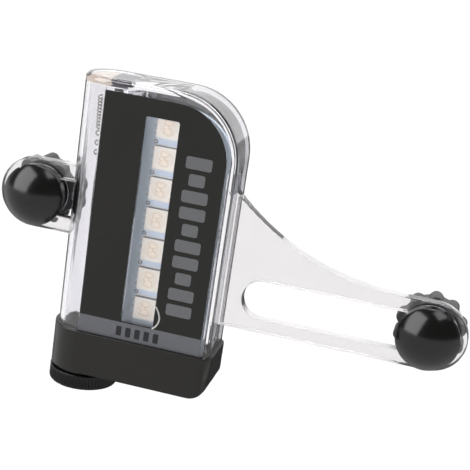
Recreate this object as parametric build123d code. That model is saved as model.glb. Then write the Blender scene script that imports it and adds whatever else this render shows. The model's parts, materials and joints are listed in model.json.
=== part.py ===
from build123d import *
import math
import os

# Wheel-spoke light: a clear case with a lamp board and a battery tube, a flat clear arm and
# ear with slots, and a dome-headed clamp bolt with a lobed nut in each slot.
# All sizes are millimetres. The build frame has X along the arm, Y through the thickness
# (the front faces -Y) and Z up the case. Its zero is on the battery tube's axis, in the
# middle of the thickness, level with the base cap's rim. Each finished piece is then
# moved so that the row's origin is the middle of the left clamp's spoke groove.

# Battery bay, round one slim cell (10.5 across, 44.5 long)
CELL_DIAMETER = 10.5
CELL_CLEARANCE = 0.2
TUBE_WALL = 1.05
BAY_RADIUS = CELL_DIAMETER / 2 + CELL_CLEARANCE
TUBE_RADIUS = BAY_RADIUS + TUBE_WALL
PARTITION_WALL = 1.1

# Clear case
CASE_RIGHT = 28.1
CASE_TOP = 53.5
CASE_CORNER = 13.0
EDGE_ROUND = 1.1
SIDE_WALL = 1.3
FACE_HALF = TUBE_RADIUS
CAVITY_HALF = FACE_HALF - SIDE_WALL
TOP_WALL = 1.9
SPIGOT_LENGTH = 3.9
SPIGOT_INSET = 0.45

# Mounting plate: the ear on the left and the arm on the right, in the case's mid-plane
PLATE_THICKNESS = 2.6
PLATE_HALF = PLATE_THICKNESS / 2
PLATE_ROUND = 0.25
SLOT_WIDTH = 8.05
EAR_REACH = 14.45
EAR_HEIGHT = 25.8
EAR_END = (-14.93, 26.0)
EAR_END_RADIUS = 7.4
EAR_SLOT_SINK = 0.5
ARM_REACH = 70.75
ARM_HEIGHT = 13.0
ARM_END = (71.45, 13.13)
ARM_END_RADIUS = 7.15
ARM_SLOT_START = 32.2
ARM_ROOT_HEIGHT = 34.6
ARM_SWEEP = 51.0

# Labels, one on each face, in shallow recesses
LABEL_THICKNESS = 0.2
LABEL_LEFT = -0.3
LABEL_MARGIN_SIDE = 2.0
LABEL_MARGIN_TOP = 2.4
LABEL_CORNER = 11.2
LABEL_GAP = 0.05
WINDOW_X = 12.15
WINDOW_MARGIN = 1.0
WINDOW_LOW = 3.95
WINDOW_TOP_GAP = 3.7
WINDOW_CORNER = 0.45

# Lamp board and its lamps
BOARD_THICKNESS = 1.2
BOARD_HALF = BOARD_THICKNESS / 2
BOARD_TUBE_GAP = 0.4
BOARD_EDGE_GAP = 0.5
BOARD_TOP_GAP = 2.1
RAIL_GAP = 0.1
RAIL_WIDTH = 0.9
RAIL_REACH = 0.5
RAIL_LOW = 2.0
RAIL_TOP_GAP = 2.5
LED_SIDE = 5.0
LED_HEIGHT = 1.6
LED_PITCH = 6.48
LED_X = 12.4
LED_CUT = 0.55
LENS_RADIUS = 2.0
LENS_DEPTH = 0.5
LENS_SINK = 0.08
PAD_WIDTH = 0.9
PAD_REACH = 0.9
PAD_HEIGHT = 0.35
PAD_PITCH = 1.6
DOT_RADIUS = 0.3
DOT_HEIGHT = 0.25
DOT_OFFSET = 2.65
DOT_DROP = 0.3

# Small board parts
CHIP_LENGTH = 9.9
CHIP_WIDTH = 3.9
CHIP_HEIGHT = 1.5
CHIP_LEGS = 8
CHIP_LEG_PITCH = 1.27
CHIP_LEG_WIDTH = 0.42
CHIP_LEG_REACH = 1.05
CHIP_LEG_THICKNESS = 0.2
SMALL_LENGTH = 2.0
SMALL_WIDTH = 1.25
RESISTOR_HEIGHT = 0.5
CAPACITOR_HEIGHT = 0.9
CAPACITOR_COUNT = 3
CAPACITOR_GAP = 5.0
CAPACITOR_PITCH = 2.4
MOTION_RADIUS = 1.6
MOTION_LENGTH = 6.5
MOTION_INSET = 4.0
MOTION_Z = 12.0
SENSOR_SIDE = 2.6
SENSOR_HEIGHT = 1.1
SENSOR_INSET = 3.4
SENSOR_TOP_GAP = 8.5

# Battery contacts and spring
CONTACT_THICKNESS = 0.3
TOP_CONTACT_LEFT = 4.2
TOP_CONTACT_HALF = 3.3
TAB_HALF = 1.2
TAB_GAP = 0.15
TAB_REACH = 1.2
SPRING_WIRE = 0.45
SPRING_TOP_RADIUS = 3.55
SPRING_FREE_RADIUS = 3.1
SPRING_TIGHT_TURNS = 10
SPRING_TIGHT_PITCH = 0.68
SPRING_OPEN_TURNS = 3
SPRING_OPEN_PITCH = 2.0
SPRING_LEAD_ANGLE = 25.0
SPRING_LEAD_DROP = 2.0
NECK_CONTACT_REACH = 0.18

# Base cap, gasket and mode button
BASE_OVERHANG = 0.68
BASE_HEIGHT = 9.25
BASE_FLOOR = 1.4
BASE_CORNER = 2.5
BASE_FOOT_CORNER = 4.0
BASE_RIM_ROUND = 0.25
BASE_FIT = 0.08
GASKET_THICKNESS = 0.5
POCKET_INSET = 0.9
BUTTON_INSET = 6.9
BUTTON_RADIUS = 2.5
BUTTON_PROUD = 0.8
BUTTON_FLANGE = 0.8
BUTTON_FLANGE_THICKNESS = 0.5
BUTTON_GAP = 0.1
BUTTON_POST_RADIUS = 1.2
BUTTON_TRAVEL = 0.5
BUTTON_ROUND = 0.6
SWITCH_SIDE = 3.6
SWITCH_HEIGHT = 1.9
PLUNGER_RADIUS = 0.8
PLUNGER_LENGTH = 0.7
PLUNGER_CLEARANCE = 0.05
LEAD_RADIUS = 0.22
LEAD_SPREAD = 0.7
LEAD_BOW = 0.8
LEAD_RISE = 7.2
LEAD_DROP = 2.7
LEAD_ARC_SHARE = 0.45

# Screw cap of the battery bay
CAP_RADIUS = 7.3
CAP_TOP_GAP = 0.7
CAP_HEIGHT = 3.3
CAP_ROUND = 0.4
CAP_RIBS = 60
CAP_RIB_DEPTH = 0.22
PLUG_CLEARANCE = 0.1
PLUG_WALL = 1.1
PLUG_TOP_GAP = 0.5
COIN_SLOT_WIDTH = 1.4
COIN_SLOT_LENGTH = 10.0
COIN_SLOT_DEPTH = 1.0
RING_RADIUS = 6.2
RING_SECTION = 0.66
RING_SEAT_GAP = 0.25

# Clamps: a moulded dome head on a steel stud, and a washer and lobed nut behind the plate
HEAD_RADIUS = 6.5
HEAD_RIM = 1.7
HEAD_RISE = 3.1
HEAD_RIM_ROUND = 0.3
MOVING_GAP = 0.05
KEY_CLEARANCE = 0.15
KEY_SHORT = 0.2
GROOVE_RADIUS = 1.05
GROOVE_OFFSET = 3.2
STUD_RADIUS = 1.5
STUD_INSIDE = 2.4
STUD_SHORT = 0.15
THREAD_CLEARANCE = 0.04
WASHER_RADIUS = 6.1
WASHER_THICKNESS = 0.8
WASHER_CLEARANCE = 0.2
NUT_RADIUS = 6.6
NUT_LOBES = 10
NUT_LOBE_RADIUS = 1.35
NUT_TIP_RADIUS = 7.45
NUT_THICKNESS = 4.9
NUT_CHAMFER = 0.7
INSERT_RADIUS = 2.6

# Heights and depths that follow from the sizes above
BAY_TOP = CASE_TOP - TOP_WALL
LABEL_RIGHT = CASE_RIGHT - LABEL_MARGIN_SIDE
LABEL_TOP = CASE_TOP - LABEL_MARGIN_TOP
WINDOW_HIGH = LABEL_TOP - WINDOW_TOP_GAP
WINDOW_HEIGHT = WINDOW_HIGH - WINDOW_LOW
WINDOW_WIDTH = LED_SIDE + 2 * WINDOW_MARGIN
LED_Z = (WINDOW_LOW + WINDOW_HIGH) / 2
LED_COUNT = round((WINDOW_HEIGHT + LED_PITCH - LED_SIDE) / LED_PITCH)
BOARD_LEFT = BAY_RADIUS + PARTITION_WALL + BOARD_TUBE_GAP
BOARD_RIGHT = CASE_RIGHT - SIDE_WALL - BOARD_EDGE_GAP
BOARD_TOP = BAY_TOP - BOARD_TOP_GAP
BOARD_CORNER = CASE_CORNER - SIDE_WALL - BOARD_EDGE_GAP
RAIL_HIGH = CASE_TOP - CASE_CORNER - RAIL_TOP_GAP
LAMP_EDGE = LED_X + LED_SIDE / 2 + PAD_REACH
CHIP_X = (LAMP_EDGE + BOARD_RIGHT) / 2
CHIP_Z = LED_Z
CAPACITOR_Z = CHIP_Z + CHIP_LENGTH / 2 + CAPACITOR_GAP
MOTION_X = BOARD_RIGHT - MOTION_INSET
SENSOR_X = BOARD_RIGHT - SENSOR_INSET
SENSOR_Z = BOARD_TOP - SENSOR_TOP_GAP
TAB_X = BOARD_LEFT + TAB_REACH
BUTTON_X = BOARD_RIGHT - BUTTON_INSET
LEDGE = -SPIGOT_LENGTH - GASKET_THICKNESS
HOLE_RADIUS = BAY_RADIUS + BASE_FIT
PLUG_RADIUS = HOLE_RADIUS - PLUG_CLEARANCE
PLUG_TOP = LEDGE - PLUG_TOP_GAP - CONTACT_THICKNESS
CAP_TOP = -BASE_HEIGHT - CAP_TOP_GAP
CAP_BOTTOM = CAP_TOP - CAP_HEIGHT
HEAD_UNDER = -PLATE_HALF - MOVING_GAP
WASHER_FRONT = PLATE_HALF + MOVING_GAP
NUT_FRONT = WASHER_FRONT + WASHER_THICKNESS + MOVING_GAP
NUT_BACK = NUT_FRONT + NUT_THICKNESS
GROOVE_DEPTH = HEAD_UNDER - GROOVE_RADIUS
BUTTON_TOP = -BASE_HEIGHT + BASE_FLOOR + BUTTON_GAP + BUTTON_FLANGE_THICKNESS
POST_TOP = BUTTON_TOP + BUTTON_POST_RADIUS
SWITCH_LOW = POST_TOP + PLUNGER_CLEARANCE + PLUNGER_LENGTH
SWITCH_TOP = SWITCH_LOW + SWITCH_HEIGHT
BOARD_BOTTOM = SWITCH_TOP
SPRING_TOP = BAY_TOP - CONTACT_THICKNESS
CUT_OVER = 1.0

LEFT_CLAMP = (-EAR_REACH, EAR_HEIGHT)
RIGHT_CLAMP = (ARM_REACH, ARM_HEIGHT)
ORIGIN = (-EAR_REACH - GROOVE_OFFSET, GROOVE_DEPTH, EAR_HEIGHT)


def slab(outline, front, back):
    """Solid of an outline drawn in X and Z, from the depth front to the depth back."""
    plane = Plane((0, back, 0), x_dir=(1, 0, 0), z_dir=(0, -1, 0))
    return extrude(plane * outline, back - front)


def column(outline, low, high):
    """Solid of an outline drawn in X and Y, from the height low to the height high."""
    return extrude(Pos(0, 0, low) * outline, high - low)


def block(left, right, front, back, low, high):
    """Plain block between two planes each way."""
    middle = ((left + right) / 2, (front + back) / 2, (low + high) / 2)
    return Pos(*middle) * Box(right - left, back - front, high - low)


def group(solids):
    """Several separate solids of one node."""
    return Compound(solids)


def corner_outline(left, right, low, high, corner):
    """Outline in X and Z of a plate whose upper right corner is rounded."""
    return make_face([
        Line((left, low), (right, low)),
        Line((right, low), (right, high - corner)),
        CenterArc((right - corner, high - corner), corner, 0, 90),
        Line((right - corner, high), (left, high)),
        Line((left, high), (left, low)),
    ])


def stadium_outline(right, half, corner):
    """Outline in X and Y of the case seen from above: round at the tube, square at the right."""
    flat = Pos(right / 2, 0) * Rectangle(right, 2 * half)
    if corner > 0:
        flat = fillet(flat.vertices().group_by(Axis.X)[-1], corner)
    return flat + Circle(half)


def ear_outline():
    """Outline in X and Z of the ear, with its slot beside the case's wall."""
    end_x, end_z = EAR_END
    ear = Pos(end_x, end_z) * Circle(EAR_END_RADIUS)
    ear += Pos(end_x / 2, end_z) * Rectangle(-end_x, 2 * EAR_END_RADIUS)
    x, z = LEFT_CLAMP
    slot_end = -TUBE_RADIUS + EAR_SLOT_SINK
    length = slot_end - x
    slot = Pos(x, z) * Circle(SLOT_WIDTH / 2)
    slot += Pos(x + length / 2, z) * Rectangle(length, SLOT_WIDTH)
    return ear - slot


def arm_outline():
    """Outline in X and Z of the arm: a swept upper edge, a round end and a long slot."""
    end_x, end_z = ARM_END
    top = end_z + ARM_END_RADIUS
    bottom = end_z - ARM_END_RADIUS
    root = CASE_RIGHT - SIDE_WALL / 2
    drop = ARM_ROOT_HEIGHT - top
    run = math.sqrt(ARM_SWEEP ** 2 - (ARM_SWEEP - drop) ** 2)
    angle = math.degrees(math.asin(run / ARM_SWEEP))
    sweep_end = CASE_RIGHT + run
    arm = make_face([
        Line((root, bottom), (end_x, bottom)),
        CenterArc(ARM_END, ARM_END_RADIUS, -90, 180),
        Line((end_x, top), (sweep_end, top)),
        CenterArc((sweep_end, top + ARM_SWEEP), ARM_SWEEP, -90, -angle),
        Line((CASE_RIGHT, ARM_ROOT_HEIGHT), (root, ARM_ROOT_HEIGHT)),
        Line((root, ARM_ROOT_HEIGHT), (root, bottom)),
    ])
    x, z = RIGHT_CLAMP
    slot_left = ARM_SLOT_START + SLOT_WIDTH / 2
    slot = Pos((slot_left + x) / 2, z) * SlotCenterToCenter(x - slot_left, SLOT_WIDTH)
    return arm - slot


def plate_piece(outline):
    """Plate of the ear or the arm, with its long edges eased."""
    plate = slab(outline, -PLATE_HALF, PLATE_HALF)
    edges = plate.edges().filter_by(lambda e: abs(abs(e.center().Y) - PLATE_HALF) < 1e-4)
    return fillet(edges, PLATE_ROUND)


def case_shell():
    """Outside of the case: flat faces, round left end and an eased outline."""
    body = slab(corner_outline(0, CASE_RIGHT, 0, CASE_TOP, CASE_CORNER), -FACE_HALF, FACE_HALF)
    body += column(Circle(TUBE_RADIUS), 0, CASE_TOP)

    def outer(edge):
        middle = edge.center()
        on_face = abs(abs(middle.Y) - FACE_HALF) < 1e-4 and middle.X > 1e-3
        round_top = middle.X < -1e-3 and abs(middle.Z - CASE_TOP) < 1e-4
        return (on_face or round_top) and middle.Z > 1e-3

    return fillet(body.edges().filter_by(outer), EDGE_ROUND)


def lamp_cavity(low):
    """Room for the lamp board, between the battery tube and the right wall."""
    right = CASE_RIGHT - SIDE_WALL
    top = CASE_TOP - SIDE_WALL
    room = slab(corner_outline(BAY_RADIUS / 2, right, low, top, CASE_CORNER - SIDE_WALL),
                -CAVITY_HALF, CAVITY_HALF)
    return room - column(Circle(BAY_RADIUS + PARTITION_WALL), low - CUT_OVER, CASE_TOP)


def board_rails():
    """Four rails that hold the board's two long edges, two on the tube and two on the wall."""
    rails = []
    inner = BOARD_HALF + RAIL_GAP
    wall = CASE_RIGHT - SIDE_WALL
    for side in (-1, 1):
        near, far = sorted((side * inner, side * (inner + RAIL_WIDTH)))
        tube = BAY_RADIUS + PARTITION_WALL / 2
        rails.append(block(tube, BOARD_LEFT + RAIL_REACH, near, far, RAIL_LOW, RAIL_HIGH))
        rails.append(block(BOARD_RIGHT - RAIL_REACH, wall + SIDE_WALL / 2, near, far,
                           RAIL_LOW, RAIL_HIGH))
    return rails


def clear_case():
    """Clear moulding: case, battery tube, ear and arm in one piece."""
    case = case_shell()
    case += column(stadium_outline(CASE_RIGHT - SPIGOT_INSET, TUBE_RADIUS - SPIGOT_INSET, 0),
                   -SPIGOT_LENGTH, 0)
    case += plate_piece(ear_outline())
    case += plate_piece(arm_outline())
    case -= lamp_cavity(-SPIGOT_LENGTH)
    case -= column(Circle(BAY_RADIUS), -SPIGOT_LENGTH, BAY_TOP)
    for rail in board_rails():
        case += rail
    tab_room = TAB_HALF + TAB_GAP
    case -= block(0, BOARD_LEFT, -tab_room, tab_room, SPRING_TOP - TAB_GAP, BAY_TOP)
    recess = label_outline(LABEL_GAP)
    case -= slab(recess, -FACE_HALF - CUT_OVER, -FACE_HALF + LABEL_THICKNESS)
    case -= slab(recess, FACE_HALF - LABEL_THICKNESS, FACE_HALF + CUT_OVER)
    return case


def label_outline(grow):
    """Outline of a label in X and Z, larger by grow for its recess."""
    return corner_outline(LABEL_LEFT - grow, LABEL_RIGHT + grow, 0, LABEL_TOP + grow,
                          LABEL_CORNER + grow)


def label(front, back):
    """Thin label with the lamp window cut through it."""
    window = Pos(WINDOW_X, LED_Z) * RectangleRounded(WINDOW_WIDTH, WINDOW_HEIGHT, WINDOW_CORNER)
    return slab(label_outline(0) - window, front, back)


def circuit_board():
    """Lamp board that stands in the case's mid-plane."""
    outline = corner_outline(BOARD_LEFT, BOARD_RIGHT, BOARD_BOTTOM, BOARD_TOP, BOARD_CORNER)
    return slab(outline, -BOARD_HALF, BOARD_HALF)


def led_heights():
    """Height of the middle of each lamp in a column."""
    first = LED_Z + LED_PITCH * (LED_COUNT - 1) / 2
    return [first - LED_PITCH * i for i in range(LED_COUNT)]


def on_side(side, low, high):
    """Depths of a piece between two heights above the board's face, front (-1) or back (1)."""
    return sorted((side * (BOARD_HALF + low), side * (BOARD_HALF + high)))


def lamp_bodies(side):
    """White lamp bodies of one side, each with a lens pocket and a cut corner."""
    bodies = []
    for z in led_heights():
        body = slab(Pos(LED_X, z) * Rectangle(LED_SIDE, LED_SIDE), *on_side(side, 0, LED_HEIGHT))
        corner = body.edges().filter_by(Axis.Y).sort_by(Axis.X)[-2:].sort_by(Axis.Z)[0]
        body = chamfer(corner, LED_CUT)
        pocket = on_side(side, LED_HEIGHT - LENS_DEPTH, LED_HEIGHT + CUT_OVER)
        bodies.append(body - slab(Pos(LED_X, z) * Circle(LENS_RADIUS), *pocket))
    return group(bodies)


def lamp_lenses(side):
    """Clear fillings of the lamps' round pockets."""
    depths = on_side(side, LED_HEIGHT - LENS_DEPTH, LED_HEIGHT - LENS_SINK)
    return group([slab(Pos(LED_X, z) * Circle(LENS_RADIUS), *depths) for z in led_heights()])


def lamp_pads():
    """Solder fillets at the six feet of every lamp, on both faces of the board."""
    pads = []
    for side in (-1, 1):
        for z in led_heights():
            for row in (-1, 0, 1):
                for edge in (-1, 1):
                    x = LED_X + edge * (LED_SIDE + PAD_REACH) / 2
                    pad = Pos(x, z + row * PAD_PITCH) * Rectangle(PAD_REACH, PAD_WIDTH)
                    pads.append(slab(pad, *on_side(side, 0, PAD_HEIGHT)))
    return group(pads)


def solder_dots():
    """Small solder domes between the lamps, beside their column, on both faces."""
    dots = []
    for side in (-1, 1):
        for z in led_heights()[1:]:
            place = Pos(LED_X - DOT_OFFSET, z + LED_PITCH / 2 - DOT_DROP)
            dot = slab(place * Circle(DOT_RADIUS), *on_side(side, 0, DOT_HEIGHT))
            tip = dot.edges().filter_by(GeomType.CIRCLE).sort_by(Axis.Y)[min(side, 0)]
            dots.append(chamfer(tip, DOT_HEIGHT / 2))
    return group(dots)


def control_chip():
    """Body of the control chip."""
    return slab(Pos(CHIP_X, CHIP_Z) * Rectangle(CHIP_WIDTH, CHIP_LENGTH),
                *on_side(-1, CHIP_LEG_THICKNESS, CHIP_HEIGHT))


def chip_legs():
    """Bent legs of the control chip, each a foot on the board and an arm into the body."""
    legs = []
    middle = CHIP_HEIGHT / 2
    for edge in (-1, 1):
        for i in range(CHIP_LEGS):
            z = CHIP_Z + CHIP_LEG_PITCH * (i - (CHIP_LEGS - 1) / 2)
            near = CHIP_X + edge * CHIP_WIDTH / 2
            far = near + edge * CHIP_LEG_REACH
            bend = near + edge * CHIP_LEG_REACH / 2
            parts = (
                (near, bend, middle - CHIP_LEG_THICKNESS, middle),
                (bend - edge * CHIP_LEG_THICKNESS, bend, 0, middle),
                (bend - edge * CHIP_LEG_THICKNESS, far, 0, CHIP_LEG_THICKNESS),
            )
            leg = None
            for start, end, low, high in parts:
                piece = slab(Pos((start + end) / 2, z) * Rectangle(abs(end - start), CHIP_LEG_WIDTH),
                             *on_side(-1, low, high))
                leg = piece if leg is None else leg + piece
            legs.append(leg)
    return group(legs)


def small_part(x, z, height, side):
    """One small two-ended part on the board."""
    outline = Pos(x, z) * Rectangle(SMALL_LENGTH, SMALL_WIDTH)
    return slab(outline, *on_side(side, 0, height))


def resistors():
    """One resistor beside each lamp, on the board's back."""
    x = LAMP_EDGE + SMALL_LENGTH
    return group([small_part(x, z, RESISTOR_HEIGHT, 1) for z in led_heights()])


def capacitors():
    """Capacitors above the control chip."""
    return group([small_part(CHIP_X - CHIP_WIDTH / 2, CAPACITOR_Z + CAPACITOR_PITCH * i,
                             CAPACITOR_HEIGHT, -1) for i in range(CAPACITOR_COUNT)])


def motion_switch():
    """Motion switch: a small metal can that lies on the board's back."""
    can = Cylinder(MOTION_RADIUS, MOTION_LENGTH)
    return Pos(MOTION_X, BOARD_HALF + MOTION_RADIUS, MOTION_Z) * can


def light_sensor():
    """Light sensor on the board's front, under the clear corner."""
    body = slab(Pos(SENSOR_X, SENSOR_Z) * Rectangle(SENSOR_SIDE, SENSOR_SIDE),
                *on_side(-1, 0, SENSOR_HEIGHT))
    dome = Pos(SENSOR_X, -BOARD_HALF - SENSOR_HEIGHT, SENSOR_Z) * Sphere(SENSOR_SIDE / 3)
    return body + dome


def top_contact():
    """Spring contact: a plate under the bay's ceiling, with a tab bent down to the board."""
    plate = block(-TOP_CONTACT_LEFT, TOP_CONTACT_LEFT, -TOP_CONTACT_HALF, TOP_CONTACT_HALF,
                  SPRING_TOP, BAY_TOP)
    plate += block(0, TAB_X, -TAB_HALF, TAB_HALF, SPRING_TOP, BAY_TOP)
    plate += block(TAB_X - CONTACT_THICKNESS, TAB_X, -TAB_HALF, TAB_HALF, BOARD_TOP, BAY_TOP)
    return plate


def neck_contact():
    """Contact finger from the screw cap's contact, under the case, up to the board's edge."""
    high = LEDGE - PLUG_TOP_GAP
    low = high - CONTACT_THICKNESS
    right = BOARD_LEFT
    finger = block(HOLE_RADIUS - NECK_CONTACT_REACH, right, -TAB_HALF, TAB_HALF, low, high)
    finger += block(right - CONTACT_THICKNESS, right, -TAB_HALF, TAB_HALF, low, 0)
    return finger


def biarc(start, start_way, end, end_way):
    """Two arcs that join two points and leave and meet them along the given directions."""
    way = start_way + end_way
    gap = end - start
    a = way.dot(way) - 4
    b = -2 * gap.dot(way)
    c = gap.dot(gap)
    reach = 2 * c / (-b + math.sqrt(b * b - 4 * a * c))
    first = start + start_way * reach
    last = end - end_way * reach
    joint = (first + last) * 0.5
    return [tangent_arc(start, first, joint), tangent_arc(joint, last, end)]


def tangent_arc(start, corner, end):
    """Arc inside a corner with two equal sides, tangent to both of them."""
    middle = (start + end) * 0.5
    half = (end - start).length / 2
    rise = (corner - middle).length
    if rise < 1e-9:
        return Line(start, end)
    angle = math.atan2(rise, half)
    return ThreePointArc(start, middle + (corner - middle) * (half * math.tan(angle / 2) / rise), end)


def spring_point(turn):
    """Point on the spring's wire and its direction, counted in turns from the top."""
    tight = min(turn, SPRING_TIGHT_TURNS)
    opened = turn - tight
    turns = SPRING_TIGHT_TURNS + SPRING_OPEN_TURNS
    slope = (SPRING_FREE_RADIUS - SPRING_TOP_RADIUS) / turns
    radius = SPRING_TOP_RADIUS + slope * turn
    angle = 2 * math.pi * turn + math.radians(SPRING_LEAD_ANGLE)
    start = SPRING_TOP - SPRING_WIRE - SPRING_LEAD_DROP
    height = start - tight * SPRING_TIGHT_PITCH - opened * SPRING_OPEN_PITCH
    fall = SPRING_TIGHT_PITCH if turn < SPRING_TIGHT_TURNS else SPRING_OPEN_PITCH
    point = Vector(radius * math.cos(angle), radius * math.sin(angle), height)
    way = Vector(slope * math.cos(angle) - 2 * math.pi * radius * math.sin(angle),
                 slope * math.sin(angle) + 2 * math.pi * radius * math.cos(angle), -fall)
    return point, way.normalized()


def battery_spring():
    """Contact spring: a helix of one wire, tight at the top and open at its free end."""
    quarters = 4 * (SPRING_TIGHT_TURNS + SPRING_OPEN_TURNS)
    knots = [spring_point(i / 4) for i in range(quarters + 1)]
    top = Vector(SPRING_TOP_RADIUS, 0, SPRING_TOP)
    down = Vector(0, 0, -1)
    lead = top + down * SPRING_WIRE
    path = [Line(top, lead)]
    path += biarc(lead, down, *knots[0])
    for begin, finish in zip(knots, knots[1:]):
        path += biarc(*begin, *finish)
    end, way = knots[-1]
    path.append(Line(end, end + way * SPRING_WIRE))
    section = Plane(top, x_dir=(1, 0, 0), z_dir=(0, 0, -1)) * Circle(SPRING_WIRE / 2)
    return sweep(section, path=Wire(path))


def spring_gap():
    """Least gap from the wire to itself, measured on points half a turn or more apart."""
    steps = 48
    turns = SPRING_TIGHT_TURNS + SPRING_OPEN_TURNS
    points = [spring_point(i / steps)[0] for i in range(steps * turns + 1)]
    least = min((points[i] - points[j]).length for i in range(len(points))
                for j in range(i + steps // 2, min(i + 2 * steps, len(points))))
    return least - SPRING_WIRE


def switch_body():
    """Press switch on the board's lower edge, over the mode button."""
    half = SWITCH_SIDE / 2
    body = block(BUTTON_X - half, BUTTON_X + half, -half, half, SWITCH_LOW, SWITCH_TOP)
    hole = column(Pos(BUTTON_X, 0) * Circle(PLUNGER_RADIUS + PLUNGER_CLEARANCE),
                  SWITCH_LOW, SWITCH_LOW + PLUNGER_LENGTH + BUTTON_TRAVEL)
    return body - hole


def switch_plunger():
    """Plunger of the press switch."""
    return column(Pos(BUTTON_X, 0) * Circle(PLUNGER_RADIUS),
                  SWITCH_LOW - PLUNGER_LENGTH, SWITCH_LOW + PLUNGER_LENGTH)


def rounded_path(points):
    """Straight runs through points, each corner rounded by an arc tangent to both runs."""
    corners = [Vector(*point) for point in points]
    runs = [(b - a).length for a, b in zip(corners, corners[1:])]
    path = []
    here = corners[0]
    for i in range(1, len(corners) - 1):
        cut = LEAD_ARC_SHARE * min(runs[i - 1], runs[i])
        before = corners[i] + (corners[i - 1] - corners[i]).normalized() * cut
        after = corners[i] + (corners[i + 1] - corners[i]).normalized() * cut
        path += [Line(here, before), tangent_arc(before, corners[i], after)]
        here = after
    path.append(Line(here, corners[-1]))
    return path


def switch_leads():
    """Two thin wires on the board, bowed past the lowest lamp, then down to the switch."""
    leads = []
    depth = -BOARD_HALF - PAD_HEIGHT - LEAD_RADIUS - MOVING_GAP
    side = BUTTON_X - SWITCH_SIDE / 2
    for i in (0, 1):
        x = LAMP_EDGE + LEAD_SPREAD * i
        foot = SWITCH_LOW + SWITCH_HEIGHT * (1 + i) / 3
        path = rounded_path([
            (x, depth, LEAD_RISE), (x + LEAD_BOW, depth, LEAD_RISE - LEAD_DROP),
            (x - LEAD_BOW, depth, LEAD_RISE - 2 * LEAD_DROP), (x, depth, foot + LEAD_DROP),
            (x + LEAD_BOW, depth, foot), (side, depth, foot),
        ])
        section = Plane(path[0] @ 0, z_dir=path[0] % 0) * Circle(LEAD_RADIUS)
        leads.append(sweep(section, path=Wire(path)))
    return group(leads)


def base_cap():
    """Black base: a rim round the case's foot, a pocket, the bay's hole and the button's hole."""
    right = CASE_RIGHT + BASE_OVERHANG
    half = FACE_HALF + BASE_OVERHANG
    base = column(stadium_outline(right, half, BASE_CORNER), -BASE_HEIGHT, 0)
    side = make_face([
        Line((-half, 0), (-half, -BASE_HEIGHT)),
        Line((-half, -BASE_HEIGHT), (right - BASE_FOOT_CORNER, -BASE_HEIGHT)),
        CenterArc((right - BASE_FOOT_CORNER, BASE_FOOT_CORNER - BASE_HEIGHT),
                  BASE_FOOT_CORNER, -90, 90),
        Line((right, BASE_FOOT_CORNER - BASE_HEIGHT), (right, 0)),
        Line((right, 0), (-half, 0)),
    ])
    base &= slab(side, -half, half)
    rim = base.edges().filter_by(lambda e: abs(e.center().Z) < 1e-4)
    base = fillet(rim, BASE_RIM_ROUND)
    fit = SPIGOT_INSET - BASE_FIT
    base -= column(stadium_outline(CASE_RIGHT - fit, TUBE_RADIUS - fit, 0), LEDGE, 0)
    base -= column(Circle(HOLE_RADIUS), -BASE_HEIGHT, LEDGE)
    inner = CASE_RIGHT - SIDE_WALL - POCKET_INSET
    pocket_half = CAVITY_HALF - POCKET_INSET / 2
    base -= block(BOARD_LEFT, inner, -pocket_half, pocket_half, -BASE_HEIGHT + BASE_FLOOR, LEDGE)
    slot_low = LEDGE - PLUG_TOP_GAP - CONTACT_THICKNESS - TAB_GAP
    tab_room = TAB_HALF + TAB_GAP
    base -= block(0, BOARD_LEFT, -tab_room, tab_room, slot_low, LEDGE)
    base -= column(Pos(BUTTON_X, 0) * Circle(BUTTON_RADIUS + BUTTON_GAP),
                   -BASE_HEIGHT, -BASE_HEIGHT + BASE_FLOOR)
    return base


def base_gasket():
    """Flat gasket between the case's foot and the ledge in the base."""
    ring = column(stadium_outline(CASE_RIGHT - SPIGOT_INSET, TUBE_RADIUS - SPIGOT_INSET, 0),
                  LEDGE, -SPIGOT_LENGTH)
    ring -= lamp_cavity(LEDGE)
    return ring - column(Circle(HOLE_RADIUS), LEDGE, -SPIGOT_LENGTH)


def mode_button():
    """Rubber button in the base's underside, with a flange inside and a post to the switch."""
    floor = -BASE_HEIGHT + BASE_FLOOR
    low = -BASE_HEIGHT - BUTTON_PROUD
    button = column(Circle(BUTTON_RADIUS), low, floor + BUTTON_GAP)
    button = fillet(button.edges().sort_by(Axis.Z)[0], BUTTON_ROUND)
    button += column(Circle(BUTTON_RADIUS + BUTTON_FLANGE), floor + BUTTON_GAP, BUTTON_TOP)
    button += column(Circle(BUTTON_POST_RADIUS), BUTTON_TOP, BUTTON_TOP + BUTTON_POST_RADIUS)
    return Pos(BUTTON_X, 0, 0) * button


def screw_cap():
    """Knurled cap with a hollow plug that screws into the bay's hole, and a coin slot."""
    cap = column(Circle(CAP_RADIUS), CAP_BOTTOM, CAP_TOP)
    cap = fillet(cap.edges().filter_by(GeomType.CIRCLE).sort_by(Axis.Z)[0], CAP_ROUND)
    flute = CAP_RIB_DEPTH * 1.6
    ring = CAP_RADIUS - CAP_RIB_DEPTH + flute
    flutes = [Pos(ring * math.cos(a), ring * math.sin(a)) * Circle(flute)
              for a in (2 * math.pi * i / CAP_RIBS for i in range(CAP_RIBS))]
    for outline in flutes:
        cap -= column(outline, CAP_BOTTOM, CAP_TOP - CAP_RIB_DEPTH)
    seat = RING_RADIUS - RING_SECTION / 2 - RING_SEAT_GAP
    cap += column(Circle(seat), CAP_TOP, CAP_TOP + RING_SECTION / 2)
    cap += column(Circle(PLUG_RADIUS), CAP_TOP, PLUG_TOP)
    cap -= column(Circle(PLUG_RADIUS - PLUG_WALL), CAP_TOP - CAP_TOP_GAP, PLUG_TOP)
    slot = block(-COIN_SLOT_LENGTH / 2, COIN_SLOT_LENGTH / 2, -COIN_SLOT_WIDTH / 2,
                 COIN_SLOT_WIDTH / 2, CAP_BOTTOM, CAP_BOTTOM + COIN_SLOT_DEPTH)
    return cap - slot


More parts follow.
